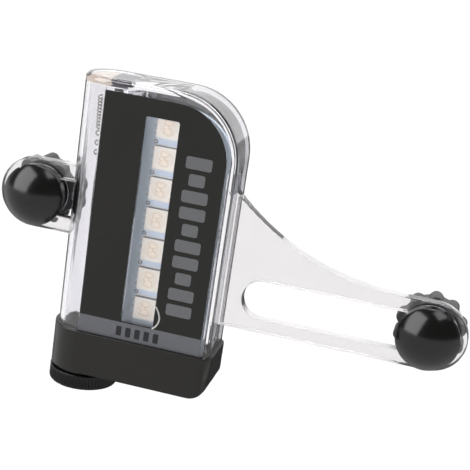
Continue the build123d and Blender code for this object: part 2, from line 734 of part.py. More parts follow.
def cap_contact():
    """Metal cup on the end of the cap's plug, which the cell stands on."""
    return column(Circle(PLUG_RADIUS - PLUG_CLEARANCE), PLUG_TOP, PLUG_TOP + CONTACT_THICKNESS)


def cap_ring():
    """Sealing ring between the screw cap and the base."""
    return Pos(0, 0, CAP_TOP + RING_SECTION / 2) * Torus(RING_RADIUS, RING_SECTION / 2)


def dome_head(way):
    """Moulded clamp head: a dome, and a key for the slot that is square on its inner side."""
    rim = HEAD_UNDER - HEAD_RIM
    top = rim - HEAD_RISE
    ball = (HEAD_RADIUS ** 2 + HEAD_RISE ** 2) / (2 * HEAD_RISE)
    angle = math.degrees(math.asin(HEAD_RADIUS / ball))
    profile = make_face([
        Line((0, HEAD_UNDER), (HEAD_RADIUS, HEAD_UNDER)),
        Line((HEAD_RADIUS, HEAD_UNDER), (HEAD_RADIUS, rim)),
        CenterArc((0, top + ball), ball, -90 + angle, -angle),
        Line((0, top), (0, HEAD_UNDER)),
    ])
    head = revolve(profile, Axis.Y)
    round_edges = head.edges().filter_by(lambda e: abs(e.center().Y - rim) < 1e-4)
    head = fillet(round_edges, HEAD_RIM_ROUND)
    half = SLOT_WIDTH / 2 - KEY_CLEARANCE
    key = Circle(half) + Pos(-way * half / 2, 0) * Rectangle(half, 2 * half)
    head += slab(key, HEAD_UNDER, PLATE_HALF - KEY_SHORT)
    return head - slab(Circle(STUD_RADIUS), HEAD_UNDER - STUD_INSIDE, PLATE_HALF)


def spoke_groove(way):
    """Groove across the head's underside, round at its bottom, beside the stud."""
    length = 2 * HEAD_RADIUS
    x = way * GROOVE_OFFSET
    groove = Pos(x, GROOVE_DEPTH, 0) * Cylinder(GROOVE_RADIUS, length)
    return groove + block(x - GROOVE_RADIUS, x + GROOVE_RADIUS, GROOVE_DEPTH, -PLATE_HALF,
                          -length / 2, length / 2)


def clamp_stud():
    """Steel stud moulded into the head, which the nut runs on."""
    return slab(Circle(STUD_RADIUS), HEAD_UNDER - STUD_INSIDE, NUT_BACK - STUD_SHORT)


def clamp_washer():
    """Flat washer behind the plate."""
    ring = Circle(WASHER_RADIUS) - Circle(STUD_RADIUS + WASHER_CLEARANCE)
    return slab(ring, WASHER_FRONT, WASHER_FRONT + WASHER_THICKNESS)


def lobed_nut():
    """Black thumb nut with ten lobes and chamfered ends."""
    outline = Circle(NUT_RADIUS)
    centre = NUT_TIP_RADIUS - NUT_LOBE_RADIUS
    for i in range(NUT_LOBES):
        a = 2 * math.pi * (i + 0.5) / NUT_LOBES
        outline += Pos(centre * math.cos(a), centre * math.sin(a)) * Circle(NUT_LOBE_RADIUS)
    nut = slab(outline, NUT_FRONT, NUT_BACK)
    profile = Polygon(
        (0, NUT_FRONT), (NUT_TIP_RADIUS - NUT_CHAMFER / 2, NUT_FRONT),
        (NUT_TIP_RADIUS, NUT_FRONT + NUT_CHAMFER / 2), (NUT_TIP_RADIUS, NUT_BACK - NUT_CHAMFER),
        (NUT_TIP_RADIUS - NUT_CHAMFER, NUT_BACK), (0, NUT_BACK), align=None)
    nut &= revolve(profile, Axis.Y)
    return nut - slab(Circle(INSERT_RADIUS), NUT_FRONT, NUT_BACK)


def nut_insert():
    """Brass insert that carries the nut's thread."""
    ring = Circle(INSERT_RADIUS) - Circle(STUD_RADIUS + THREAD_CLEARANCE)
    return slab(ring, NUT_FRONT, NUT_BACK)


def clamp_pieces(name, place, way):
    """The five pieces of one clamp, at its place on the plate."""
    spot = Pos(place[0], 0, place[1])
    return {
        name + "_dome_head": spot * (dome_head(way) - spoke_groove(way)),
        name + "_stud": spot * clamp_stud(),
        name + "_washer": spot * clamp_washer(),
        name + "_lobed_nut": spot * lobed_nut(),
        name + "_nut_insert": spot * nut_insert(),
    }


nodes = {
    "clear_case": clear_case(),
    "front_label": label(-FACE_HALF, -FACE_HALF + LABEL_THICKNESS),
    "back_label": label(FACE_HALF - LABEL_THICKNESS, FACE_HALF),
    "circuit_board": circuit_board(),
    "front_leds": lamp_bodies(-1),
    "back_leds": lamp_bodies(1),
    "front_led_lenses": lamp_lenses(-1),
    "back_led_lenses": lamp_lenses(1),
    "led_solder_feet": lamp_pads(),
    "solder_dots": solder_dots(),
    "control_chip": control_chip(),
    "chip_legs": chip_legs(),
    "resistors": resistors(),
    "capacitors": capacitors(),
    "motion_switch": motion_switch(),
    "light_sensor": light_sensor(),
    "top_contact": top_contact(),
    "battery_spring": battery_spring(),
    "neck_contact": neck_contact(),
    "switch_body": switch_body(),
    "switch_plunger": switch_plunger(),
    "switch_leads": switch_leads(),
    "base_cap": base_cap(),
    "base_gasket": base_gasket(),
    "mode_button": mode_button(),
    "screw_cap": screw_cap(),
    "cap_contact": cap_contact(),
    "cap_o_ring": cap_ring(),
}
nodes.update(clamp_pieces("left", LEFT_CLAMP, -1))
nodes.update(clamp_pieces("right", RIGHT_CLAMP, 1))

os.makedirs("parts", exist_ok=True)
to_origin = Pos(*(-value for value in ORIGIN))
for node, piece in nodes.items():
    export_step(to_origin * piece, f"parts/{node}.step")
print(f"battery spring: least gap to itself {spring_gap():.2f} mm")
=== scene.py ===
"""Looks of a clear wheel-spoke light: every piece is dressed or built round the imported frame.

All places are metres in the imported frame: X along the arm, Y through the thickness with the
front facing -Y, and Z up the case. Sizes of new pieces come from the boxes of the CAD nodes
that they stand for, and from a few named sizes in each class.
"""
from __future__ import annotations

import json
import logging
import math
from dataclasses import dataclass, replace
from enum import Enum

import bmesh
import bpy
import numpy as np
from mathutils import Matrix, Vector

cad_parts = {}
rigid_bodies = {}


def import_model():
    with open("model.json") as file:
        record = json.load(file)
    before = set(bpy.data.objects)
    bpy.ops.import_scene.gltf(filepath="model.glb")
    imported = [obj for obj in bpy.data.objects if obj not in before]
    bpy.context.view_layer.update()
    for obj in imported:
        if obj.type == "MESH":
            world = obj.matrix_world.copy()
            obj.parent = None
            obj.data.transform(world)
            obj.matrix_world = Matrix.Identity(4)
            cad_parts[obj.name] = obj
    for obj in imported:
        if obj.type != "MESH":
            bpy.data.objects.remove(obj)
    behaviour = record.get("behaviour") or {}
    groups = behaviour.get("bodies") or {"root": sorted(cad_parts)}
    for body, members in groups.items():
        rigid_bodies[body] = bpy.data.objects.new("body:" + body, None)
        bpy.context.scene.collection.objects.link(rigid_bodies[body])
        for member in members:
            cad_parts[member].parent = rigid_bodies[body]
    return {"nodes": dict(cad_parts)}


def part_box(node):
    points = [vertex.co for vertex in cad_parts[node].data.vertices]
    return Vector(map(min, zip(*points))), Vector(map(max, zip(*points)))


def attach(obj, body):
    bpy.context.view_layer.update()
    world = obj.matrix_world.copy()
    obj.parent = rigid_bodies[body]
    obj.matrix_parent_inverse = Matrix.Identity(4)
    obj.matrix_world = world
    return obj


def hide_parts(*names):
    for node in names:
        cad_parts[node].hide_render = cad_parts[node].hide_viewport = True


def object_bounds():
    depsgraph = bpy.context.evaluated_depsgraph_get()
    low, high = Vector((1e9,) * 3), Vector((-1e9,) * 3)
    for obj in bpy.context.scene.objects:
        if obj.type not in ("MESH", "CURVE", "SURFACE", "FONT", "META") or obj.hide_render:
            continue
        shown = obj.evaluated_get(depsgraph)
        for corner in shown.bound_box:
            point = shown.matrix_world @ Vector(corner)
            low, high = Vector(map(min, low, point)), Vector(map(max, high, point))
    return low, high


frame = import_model()
CAD_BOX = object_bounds()

LOG = logging.getLogger("spoke_light")
MM = 0.001
MERGE_DISTANCE = 0.0005 * MM
TURN = 2 * math.pi
# Angles in degrees: above the first two an edge stays crisp, on a built piece and on a copy of a
# CAD node. Within the third a copy's faces are one flat face, and above the last its edges are
# bevelled.
CRISP_BUILT = 35.0
CRISP_COPIED = 28.0
FLAT_WITHIN = 0.2
BEVEL_ABOVE = 40.0

Patch = tuple[np.ndarray, np.ndarray]
Colour = tuple[float, float, float, float]


class Axis(Enum):
    """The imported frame's axes, as their numbers."""

    X = 0
    Y = 1
    Z = 2


def linear(code: str) -> Colour:
    """Turns an sRGB hex colour into linear light.

    Args:
        code: Colour as six hex digits after a hash sign.

    Returns:
        Red, green, blue and an alpha of one.
    """
    channels = [int(code[i:i + 2], 16) / 255 for i in (1, 3, 5)]
    light = [c / 12.92 if c <= 0.04045 else ((c + 0.055) / 1.055) ** 2.4 for c in channels]
    return light[0], light[1], light[2], 1.0


def add(tree: bpy.types.NodeTree, kind: str, inputs: dict | None = None,
        **settings: object) -> bpy.types.Node:
    """Adds one node with its settings, values and links.

    Args:
        tree: Node tree that takes the node.
        kind: Blender's name of the node type.
        inputs: Socket name or number, to a value or to the output socket it is linked from.
        **settings: Attributes of the node itself.

    Returns:
        The new node.
    """
    node = tree.nodes.new(kind)
    for name, value in settings.items():
        setattr(node, name, value)
    for key, value in (inputs or {}).items():
        if isinstance(value, bpy.types.NodeSocket):
            tree.links.new(value, node.inputs[key])
        else:
            node.inputs[key].default_value = value
    return node


def graded(tree: bpy.types.NodeTree, value: bpy.types.NodeSocket, limits: tuple[float, float],
           ends: tuple[float, float], curve: str = "LINEAR") -> bpy.types.NodeSocket:
    """Turns one range of a value into another, and holds it at the new range's ends.

    Args:
        tree: Node tree that takes the node.
        value: Output socket with the value.
        limits: Values that become the two ends.
        ends: What they become.
        curve: Blender's name of the curve between them.

    Returns:
        Output socket with the result.
    """
    node = add(tree, "ShaderNodeMapRange",
               {0: value, 1: limits[0], 2: limits[1], 3: ends[0], 4: ends[1]},
               interpolation_type=curve)
    return node.outputs[0]


@dataclass(frozen=True)
class Finish:
    """One real material and how its surface was made.

    Attributes:
        name: Common name of the material and its making.
        colour: Main colour, sRGB hex.
        shade: Second colour that the broad variation mixes in, sRGB hex.
        roughness: Middle of the roughness.
        spread: How far the roughness wanders to each side.
        metallic: One for bare metal.
        ior: Index of refraction; metals keep the default.
        specular: Specular level, where half is the plain surface of that index.
        transmission: One for clear material.
        coat: Weight of a clear lacquer.
        cloud_mm: Size of the broad patches of colour and roughness.
        grain_mm: Size of the fine relief.
        relief_mm: Height of the fine relief.
        stretch: How much longer the relief is along each axis.
    """

    name: str
    colour: str
    shade: str
    roughness: float
    spread: float = 0.04
    metallic: float = 0.0
    ior: float = 1.5
    specular: float = 0.5
    transmission: float = 0.0
    coat: float = 0.0
    cloud_mm: float = 9.0
    grain_mm: float = 0.25
    relief_mm: float = 0.004
    stretch: tuple[float, float, float] = (1.0, 1.0, 1.0)

    def colouring(self, tree: bpy.types.NodeTree, place: bpy.types.NodeSocket,
                  cloud: bpy.types.NodeSocket) -> bpy.types.NodeSocket:
        """Mixes the two colours by the broad noise.

        Args:
            tree: The material's node tree.
            place: Object coordinates; not used.
            cloud: Broad noise, from 0 to 1.

        Returns:
            Output socket with the colour.
        """
        mix = add(tree, "ShaderNodeMix", {0: cloud, 6: linear(self.colour), 7: linear(self.shade)},
                  data_type="RGBA")
        return mix.outputs[2]

    def material(self) -> bpy.types.Material:
        """Builds the material once and hands out the same one afterwards.

        Returns:
            The Blender material of this finish.
        """
        made = bpy.data.materials.get(self.name)
        if made:
            return made
        made = bpy.data.materials.new(self.name)
        made.use_nodes = True
        tree = made.node_tree
        tree.nodes.clear()
        place = add(tree, "ShaderNodeTexCoord").outputs["Object"]
        # Noise counts its repeats per metre, so a size in millimetres becomes 1000 over it.
        broad = add(tree, "ShaderNodeTexNoise",
                    {"Vector": place, "Scale": 1 / (self.cloud_mm * MM), "Detail": 3.0})
        along = add(tree, "ShaderNodeMapping",
                    {"Vector": place, "Scale": tuple(1 / s for s in self.stretch)})
        fine = add(tree, "ShaderNodeTexNoise",
                   {"Vector": along.outputs[0], "Scale": 1 / (self.grain_mm * MM), "Detail": 2.0})
        # The noise hardly leaves 0.3 to 0.7, so that range takes up the whole spread.
        rough = graded(tree, broad.outputs[0], (0.3, 0.7),
                       (max(self.roughness - self.spread, 0.0), self.roughness + self.spread))
        bump = add(tree, "ShaderNodeBump",
                   {"Height": fine.outputs[0], "Distance": self.relief_mm * MM, "Strength": 1.0})
        shader = add(tree, "ShaderNodeBsdfPrincipled", {
            "Base Color": self.colouring(tree, place, broad.outputs[0]),
            "Roughness": rough,
            "Metallic": self.metallic,
            "IOR": self.ior,
            "Specular IOR Level": self.specular,
            "Transmission Weight": self.transmission,
            "Coat Weight": self.coat,
            "Coat Roughness": 0.08,
            "Normal": bump.outputs[0],
        })
        add(tree, "ShaderNodeOutputMaterial", {"Surface": shader.outputs[0]})
        return made


@dataclass(frozen=True)
class BandedFinish(Finish):
    """Finish that keeps its own colour in a band along one axis and has a tint beyond it.

    Attributes:
        tint: Colour beyond the band's ends, sRGB hex.
        band_mm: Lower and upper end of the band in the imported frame.
        axis: Axis that the band is measured along.
    """

    tint: str = "#c9cbd0"
    band_mm: tuple[float, float] = (-1.0, 1.0)
    axis: Axis = Axis.X

    def colouring(self, tree: bpy.types.NodeTree, place: bpy.types.NodeSocket,
                  cloud: bpy.types.NodeSocket) -> bpy.types.NodeSocket:
        """Mixes the tint in where a place is further from the band's middle than its ends.

        Args:
            tree: The material's node tree.
            place: Object coordinates.
            cloud: Broad noise, from 0 to 1.

        Returns:
            Output socket with the colour.
        """
        ground = super().colouring(tree, place, cloud)
        axes = add(tree, "ShaderNodeSeparateXYZ", {0: place})
        middle, half = sum(self.band_mm) / 2, (self.band_mm[1] - self.band_mm[0]) / 2
        away = add(tree, "ShaderNodeMath", {0: axes.outputs[self.axis.value], 1: middle * MM},
                   operation="SUBTRACT")
        far = add(tree, "ShaderNodeMath", {0: away.outputs[0]}, operation="ABSOLUTE")
        beyond = add(tree, "ShaderNodeMath", {0: far.outputs[0], 1: half * MM},
                     operation="GREATER_THAN")
        mix = add(tree, "ShaderNodeMix", {0: beyond.outputs[0], 6: ground, 7: linear(self.tint)},
                  data_type="RGBA")
        return mix.outputs[2]


# Polycarbonate straight from a polished mould: clear and bright, with a slow ripple from cooling.
CLEAR = Finish("clear_polycarbonate_moulded", "#f3f2f5", "#eeedf1", 0.0, 0.0, ior=1.586,
               transmission=1.0, grain_mm=4.0, relief_mm=0.006, stretch=(1.0, 1.0, 4.0))
# The same moulding where it is flat and solid: a little greyer than the hollow case.
PLATE = Finish("clear_polycarbonate_flat_plate", "#e3e1e2", "#e0dedf", 0.0, 0.0, ior=1.586,
               transmission=1.0, grain_mm=4.0, relief_mm=0.003)
# Its narrow edges, where the mould's halves meet: paler and faintly frosted.
PLATE_EDGE = Finish("clear_polycarbonate_frosted_edge", "#e2e0e2", "#d8d6d8", 0.22, 0.06,
                    ior=1.586, transmission=0.25, grain_mm=0.5, relief_mm=0.003)
# Polyester film printed black, satin on top: an even dark face with a soft reflection. Its foot,
# below -22 mm, is printed grey.
FILM = BandedFinish("polyester_label_film_printed", "#100f0d", "#141310", 0.27, 0.02,
                    specular=0.27, grain_mm=0.5, relief_mm=0.0012, cloud_mm=14.0,
                    tint="#5d5e63", band_mm=(-22.0, 40.0), axis=Axis.Z)
# Screen ink on the film: mid grey, a little flatter than the film.
INK = Finish("screen_ink_grey", "#58595b", "#606163", 0.42, 0.03, specular=0.3, grain_mm=0.12,
             relief_mm=0.002)
# Dark screen ink on the grey strip.
DARK_INK = Finish("screen_ink_dark", "#17171a", "#1c1c1f", 0.42, 0.03, specular=0.27,
                  grain_mm=0.12, relief_mm=0.002)
# Lifted edge of the label film beside the window's foot: pale grey and glossy, a painted glint.
FILM_EDGE_GLINT = Finish("dried_clear_glue", "#c9c8c4", "#b4b3ae", 0.2, 0.06, cloud_mm=1.0)
# Glass-fibre board under pale lacquer: light blue grey, smooth and slightly mottled. It is
# painted paler in the band where the lamps stand, a painted light that lifts the shade they cast
# into the gaps between them.
BOARD = BandedFinish("circuit_board_pale_lacquer", "#cfe0f6", "#dde9f8", 0.3, 0.05, coat=0.4,
                     grain_mm=0.4, relief_mm=0.002, cloud_mm=5.0, tint="#afc1cf",
                     band_mm=(27.3, 33.4))
# Board print: thin dark ink round the solder domes. The same dark also paints the shade line on
# each lamp's upper side.
BOARD_INK_AND_SHADE = Finish("board_print_dark", "#3c434f", "#4a515c", 0.5)
# Polyphthalamide lamp body: chalk white moulding with a fine grain.
LAMP_WHITE = Finish("polyphthalamide_white_moulded", "#f8f3e8", "#f2ebdd", 0.45, 0.05,
                    grain_mm=0.12, relief_mm=0.003, cloud_mm=3.0)
# Silicone gel over phosphor: warm cream, wet looking.
GEL = Finish("silicone_gel_cream", "#f6eedf", "#f2e6d3", 0.16, 0.04, ior=1.41, coat=0.4,
             grain_mm=0.6, relief_mm=0.01, cloud_mm=1.5)
# Phosphor domes over the dies: yellower than the gel round them.
PHOSPHOR = Finish("phosphor_dome", "#fdf1de", "#f8e8d2", 0.2, 0.04, ior=1.41, coat=0.4,
                  cloud_mm=1.0)
# Rim of each dome where the gel is thin and the gold leadframe shows through.
DIE_RIM = Finish("gold_leadframe_rim", "#e6cdb4", "#dcbfa4", 0.35, 0.05, cloud_mm=1.0)
# Tin solder that froze bright: silvery, slightly rippled.
SOLDER = Finish("tin_solder_bright", "#eceef0", "#c9cbd0", 0.2, 0.08, metallic=0.5,
                grain_mm=0.3, relief_mm=0.01, cloud_mm=1.0)
# Moulded epoxy chip body: charcoal, dull and finely pitted.
EPOXY = Finish("epoxy_moulding_black", "#1d1d1e", "#262627", 0.55, 0.06, grain_mm=0.12,
               relief_mm=0.005)
# Small board parts between tinned ends: a dull black body and a tan one. The band of each is set
# round its own middle when it is dressed.
RESISTOR = BandedFinish("thick_film_resistor", "#1b1b1c", "#242425", 0.35)
CAPACITOR = BandedFinish("fired_ceramic_capacitor", "#a57f58", "#b48d63", 0.4)
# Nickel plated contact strip: warm silver with rolling lines.
NICKEL = Finish("nickel_plated_strip", "#b9b4aa", "#a8a298", 0.28, 0.08, metallic=1.0,
                grain_mm=0.15, relief_mm=0.004, stretch=(1.0, 20.0, 1.0))
# Phosphor bronze contact plate, tinned: pale with a warm tinge, and dark violet grey
# on the right.
BRONZE = BandedFinish("phosphor_bronze_plate", "#fdfbf8", "#f3e2d3", 0.4, 0.08, metallic=0.2,
                      grain_mm=0.2, relief_mm=0.004, cloud_mm=2.2, tint="#6a6270",
                      band_mm=(9.0, 17.4))
# Drawn spring wire, nickel plated: darker, with draw marks along it.
SPRING_WIRE = Finish("nickel_plated_spring_wire", "#a5a29b", "#8b8881", 0.24, 0.06, metallic=1.0,
                     grain_mm=0.1, relief_mm=0.003, cloud_mm=2.0)
# Stamped can of the motion switch: bright tin plate.
TIN_CAN = Finish("tin_plated_can", "#c4c6c9", "#b0b2b6", 0.2, 0.06, metallic=1.0)
# Moulded nylon of the switch's pin: off-white with a soft shine.
WHITE_NYLON = Finish("nylon_white_moulded", "#e7e6e2", "#dcdbd6", 0.4, 0.04)
# Soft plastic sleeve of the thin wires.
SLEEVE = Finish("vinyl_wire_sleeve_white", "#ebebe8", "#dededb", 0.38, 0.04, grain_mm=0.3)
# Satin ABS from a spark-eroded mould: warm black with a fine grain that softens reflections.
SATIN_ABS = Finish("abs_satin_black_moulded", "#110f0d", "#151310", 0.33, 0.05, specular=0.28,
                   grain_mm=0.22, relief_mm=0.006, cloud_mm=16.0)
# The same plastic on the knurled screw cap, deeper black and with less shine.
DEEP_ABS = Finish("abs_deep_black_moulded", "#0c0b0a", "#0f0e0d", 0.3, 0.05, specular=0.17,
                  grain_mm=0.5, relief_mm=0.002)
# Polished ABS: deep black and glossy, with a very slow ripple.
GLOSS_ABS = Finish("abs_polished_black", "#0b0b0a", "#0e0e0d", 0.18, 0.03, specular=0.33,
                   grain_mm=2.5, relief_mm=0.004, cloud_mm=6.0)
# Nylon thumb nut: black, matt, with moulding grain on its lobes.
NUT_NYLON = Finish("nylon_matt_black_moulded", "#171716", "#1f1f1e", 0.42, 0.07, grain_mm=0.3,
                   relief_mm=0.012, cloud_mm=4.0)
# Moulded nitrile rubber: dull black.
RUBBER = Finish("nitrile_rubber_black", "#161616", "#1d1d1d", 0.7, 0.08, grain_mm=0.2,
                relief_mm=0.006)
# Zinc plated steel: cool silver with turning lines.
ZINC = Finish("zinc_plated_steel", "#c3c6cb", "#a9acb2", 0.26, 0.08, metallic=1.0,
              grain_mm=0.18, relief_mm=0.004, cloud_mm=3.0)
# Turned brass: yellow, with a slow change of sheen.
BRASS = Finish("brass_turned", "#c9a35c", "#b28c48", 0.25, 0.07, metallic=1.0, grain_mm=0.15)
# Matt studio floor.
FLOOR = Finish("painted_studio_floor_white", "#f4f4f4", "#f6f6f6", 1.0, 0.0, specular=0.0,
               relief_mm=0.0, cloud_mm=400.0)


class Side(Enum):
    """The two faces of the light, as the sign of their outward Y."""

    FRONT = -1
    BACK = 1


class Role(Enum):
    """What a light panel is for."""

    GLINT = "seen in reflections, lights no matt surface"
    FILL = "lights matt surfaces, seen in no reflection"


class Edge(Enum):
    """How the edges of a dressed copy are broken, as the bevel's width in millimetres."""

    MOULDED = 0.0
    SOFT = 0.08
    STAMPED = 0.05


@dataclass(frozen=True)
class Span:
    """Box of a CAD node at rest.

    Attributes:
        low: Lowest corner, in metres.
        high: Highest corner, in metres.
    """

    low: np.ndarray
    high: np.ndarray

    @classmethod
    def of(cls, node: str) -> Span:
        """Box of the named CAD node."""
        low, high = (np.array(list(corner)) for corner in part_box(node))
        return cls(low, high)

    @property
    def centre(self) -> np.ndarray:
        """Middle of the box."""
        return (self.low + self.high) / 2

    @property
    def size(self) -> np.ndarray:
        """Extents of the box."""
        return self.high - self.low


def grid(points: np.ndarray, close_rows: bool = False) -> Patch:
    """Joins a grid of points by quads, with the last column joined to the first.

    Args:
        points: Array of rows by columns by three.
        close_rows: Whether the last row joins the first too.

    Returns:
        Vertices and quads.
    """
    rows, columns = points.shape[:2]
    index = np.arange(rows * columns).reshape(rows, columns)
    if close_rows:
        index = np.vstack([index, index[:1]])
    index = np.hstack([index, index[:, :1]])
    corners = [index[:-1, :-1], index[1:, :-1], index[1:, 1:], index[:-1, 1:]]
    return points.reshape(-1, 3), np.stack(corners, axis=-1).reshape(-1, 4)


def joined(patches: list[Patch]) -> Patch:
    """Puts several patches into one set of vertices and faces.

    Args:
        patches: Vertices and faces of each patch.

    Returns:
        Vertices and faces of them all.
    """
    starts = np.cumsum([0] + [len(v) for v, _ in patches[:-1]])
    faces = [f + s for (_, f), s in zip(patches, starts)]
    return np.concatenate([v for v, _ in patches]), np.concatenate(faces)


def copies(patch: Patch, places: np.ndarray) -> Patch:
    """Repeats a patch at several places.

    Args:
        patch: Vertices and faces round the origin.
        places: Array of offsets.

    Returns:
        Vertices and faces of all the copies.
    """
    return joined([(patch[0] + place, patch[1]) for place in places])


def full_turn(steps: int) -> np.ndarray:
    """Angles of one whole turn in equal steps, from zero."""
    return np.arange(steps) * TURN / steps


def ramp(distance: np.ndarray, length: float) -> np.ndarray:
    """Share of a length that a distance covers, held between zero and one."""
    return np.clip(distance / length, 0, 1)


def ellipses(across: np.ndarray, up: np.ndarray, out: np.ndarray, t: np.ndarray) -> np.ndarray:
    """Rows of points on ellipses: across * cos t, up * sin t, and out as they are.

    Args:
        across: Half extent of each row or point along the first direction.
        up: Half extent of each row or point along the second direction.
        out: Place of each row along the third direction.
        t: Angles of the points.

    Returns:
        Array of rows by angles by three.
    """
    return np.stack([across * np.cos(t), up * np.sin(t), out * np.ones_like(t)], axis=-1)


def thread_hollow(height: np.ndarray, pitch: float, t: np.ndarray) -> np.ndarray:
    """Share of a thread's full depth at each height and angle.

    The phase is height / pitch - t / turn. The crest is where it is a whole number, and the
    share is twice its distance from the nearest one.

    Args:
        height: Column of heights along the thread.
        pitch: Rise of one turn.
        t: Angles round the thread.

    Returns:
        Array of heights by angles, from 0 on the crest to 1 in the root.
    """
    phase = height / pitch - t / TURN
    return np.abs(phase - np.round(phase)) * 2


def revolved(profile: np.ndarray, centre: np.ndarray, axis: Axis, segments: int = 96,
             wave: np.ndarray | None = None, closed: bool = False) -> Patch:
    """Carries a profile round an axis.

    The point of profile row i at the angle t is centre + height_i along the axis, and
    (radius_i + wave_it) * (cos t, sin t) in the plane across it.

    Args:
        profile: Rows of radius and height.
        centre: Point on the axis where the height is zero.
        axis: Axis of turning, Y or Z.
        segments: Steps round the axis.
        wave: Array of rows by segments that is added to the radius.
        closed: Whether the profile is a closed loop.

    Returns:
        Vertices and quads.
    """
    angle = full_turn(segments)
    radius = profile[:, :1] + (0.0 if wave is None else wave)
    points = np.empty((len(profile), segments, 3))
    across = (0, 2) if axis is Axis.Y else (0, 1)
    points[..., across[0]] = radius * np.cos(angle)
    points[..., across[1]] = radius * np.sin(angle)
    points[..., axis.value] = profile[:, 1:]
    return grid(points + centre, close_rows=closed)


def rounded_profile(corners: list[tuple[float, float, float]], steps: int = 5) -> np.ndarray:
    """Profile through corners, each cut back to its radius and rounded.

    A corner becomes a quadratic curve from the point one radius before it to the point one
    radius after it, with the corner itself as the control point.

    Args:
        corners: Radius from the axis, height, and rounding of each corner, in millimetres.
        steps: Points on each rounded corner.

    Returns:
        Rows of radius and height, in metres.
    """
    points = np.array([c[:2] for c in corners])
    rows = [points[:1]]
    t = np.linspace(0, 1, steps)[:, None]
    for i in range(1, len(points) - 1):
        here, reach = points[i], corners[i][2]
        before = here + (points[i - 1] - here) * reach / np.linalg.norm(points[i - 1] - here)
        after = here + (points[i + 1] - here) * reach / np.linalg.norm(points[i + 1] - here)
        bend = (1 - t) ** 2 * before + 2 * t * (1 - t) * here + t ** 2 * after
        rows.append(bend if reach > 0 else here[None])
    rows.append(points[-1:])
    return np.concatenate(rows) * MM


def tube(path: np.ndarray, guide: np.ndarray, radius: float, sides: int = 12) -> Patch:
    """Round tube along a path, closed at both ends.

    The ring at each path point is radius * (cos t * n + sin t * b), where n is the guide made
    square to the path's direction and b is square to both.

    Args:
        path: Points of the centreline.
        guide: A direction at each point that is never along the path.
        radius: Radius of the tube.
        sides: Points round the tube.

    Returns:
        Vertices and quads.
    """
    way = np.gradient(path, axis=0)
    way /= np.linalg.norm(way, axis=1)[:, None]
    side = guide - (guide * way).sum(axis=1)[:, None] * way
    side /= np.linalg.norm(side, axis=1)[:, None]
    other = np.cross(way, side)
    t = full_turn(sides)[None, :, None]
    rings = path[:, None] + radius * (np.cos(t) * side[:, None] + np.sin(t) * other[:, None])
    ends = np.repeat(path[[0, -1]][:, None], sides, axis=1)
    return grid(np.concatenate([ends[:1], rings, ends[1:]]))


def prism(outline: np.ndarray, low: float, high: float) -> Patch:
    """Closed plate of an outline in X and Z between two depths.

    Each row of the grid is the outline scaled about its middle: 0 and 1 at the depth low, then
    1 and 0 at the depth high.

    Args:
        outline: Rows of X and Z, star-shaped about their mean.
        low: Smaller depth.
        high: Larger depth.

    Returns:
        Vertices and quads.
    """
    middle = outline.mean(axis=0)
    rows = []
    for share, depth in ((0.0, low), (1.0, low), (1.0, high), (0.0, high)):
        flat = middle + (outline - middle) * share
        rows.append(np.column_stack([flat[:, 0], np.full(len(flat), depth), flat[:, 1]]))
    return grid(np.array(rows))


def bar_outline(centre: tuple[float, float], width: float, height: float,
                corner: float, steps: int = 8) -> np.ndarray:
    """Outline of a bar with round corners.

    Each corner is a quarter circle about a point one radius inside both edges.

    Args:
        centre: X and Z of the middle.
        width: Extent along X.
        height: Extent along Z.
        corner: Radius of the corners.
        steps: Points on each corner.

    Returns:
        Rows of X and Z.
    """
    quarter = np.arange(4)[:, None] * TURN / 4 + np.linspace(0, TURN / 4, steps)[None]
    signs = np.array([(1, 1), (-1, 1), (-1, -1), (1, -1)], float)[:, None]
    inner = signs * (np.array([width, height]) / 2 - corner)
    round_part = corner * np.stack([np.cos(quarter), np.sin(quarter)], axis=-1)
    return (inner + round_part).reshape(-1, 2) + np.array(centre)


def mesh_of(name: str, patch: Patch, sharp: float = CRISP_BUILT) -> bpy.types.Mesh:
    """Makes a closed, outward-facing mesh of a patch.

    Args:
        name: Name of the mesh.
        patch: Vertices and faces.
        sharp: Angle in degrees above which an edge stays crisp.

    Returns:
        The mesh, with doubles merged and normals facing outwards.
    """
    mesh = bpy.data.meshes.new(name)
    mesh.from_pydata(patch[0], [], patch[1])
    tidy(mesh, sharp)
    return mesh


def tidy(mesh: bpy.types.Mesh, sharp: float) -> None:
    """Merges doubles, turns the faces outwards and sets smooth shading.

    Args:
        mesh: Mesh to change.
        sharp: Angle in degrees above which an edge stays crisp.
    """
    work = bmesh.new()
    work.from_mesh(mesh)
    bmesh.ops.remove_doubles(work, verts=work.verts, dist=MERGE_DISTANCE)
    bmesh.ops.recalc_face_normals(work, faces=work.faces)
    work.to_mesh(mesh)
    work.free()
    mesh.shade_smooth()
    mesh.set_sharp_from_angle(angle=math.radians(sharp))


def place_piece(name: str, mesh: bpy.types.Mesh, finish: Finish, body: str,
                stands_for: tuple[str, ...] = ()) -> bpy.types.Object:
    """Puts a finished mesh into the scene and onto its body.

    Args:
        name: Name of the piece.
        mesh: Its mesh, already in place.
        finish: Its finish.
        body: CAD body that it rides on.
        stands_for: CAD nodes that it replaces.

    Returns:
        The new object.
    """
    piece = bpy.data.objects.new(name, mesh)
    bpy.context.scene.collection.objects.link(piece)
    mesh.materials.clear()
    mesh.materials.append(finish.material())
    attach(piece, body)
    if stands_for:
        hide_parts(*stands_for)
    LOG.info("%s: %d faces on %s", name, len(mesh.polygons), body)
    return piece


def build_piece(name: str, patch: Patch, finish: Finish, body: str, slot: str,
                *stands_for: str, sharp: float = CRISP_BUILT) -> None:
    """Makes a piece of a patch and puts it into the scene.

    Args:
        name: Name of the piece and of its mesh.
        patch: Vertices and faces, already in place.
        finish: Its finish.
        body: CAD body that it rides on.
        slot: Material slot of the record that its finish belongs to; not used.
        *stands_for: CAD nodes that it replaces.
        sharp: Angle in degrees above which an edge stays crisp.
    """
    place_piece(name, mesh_of(name, patch, sharp), finish, body, stands_for)


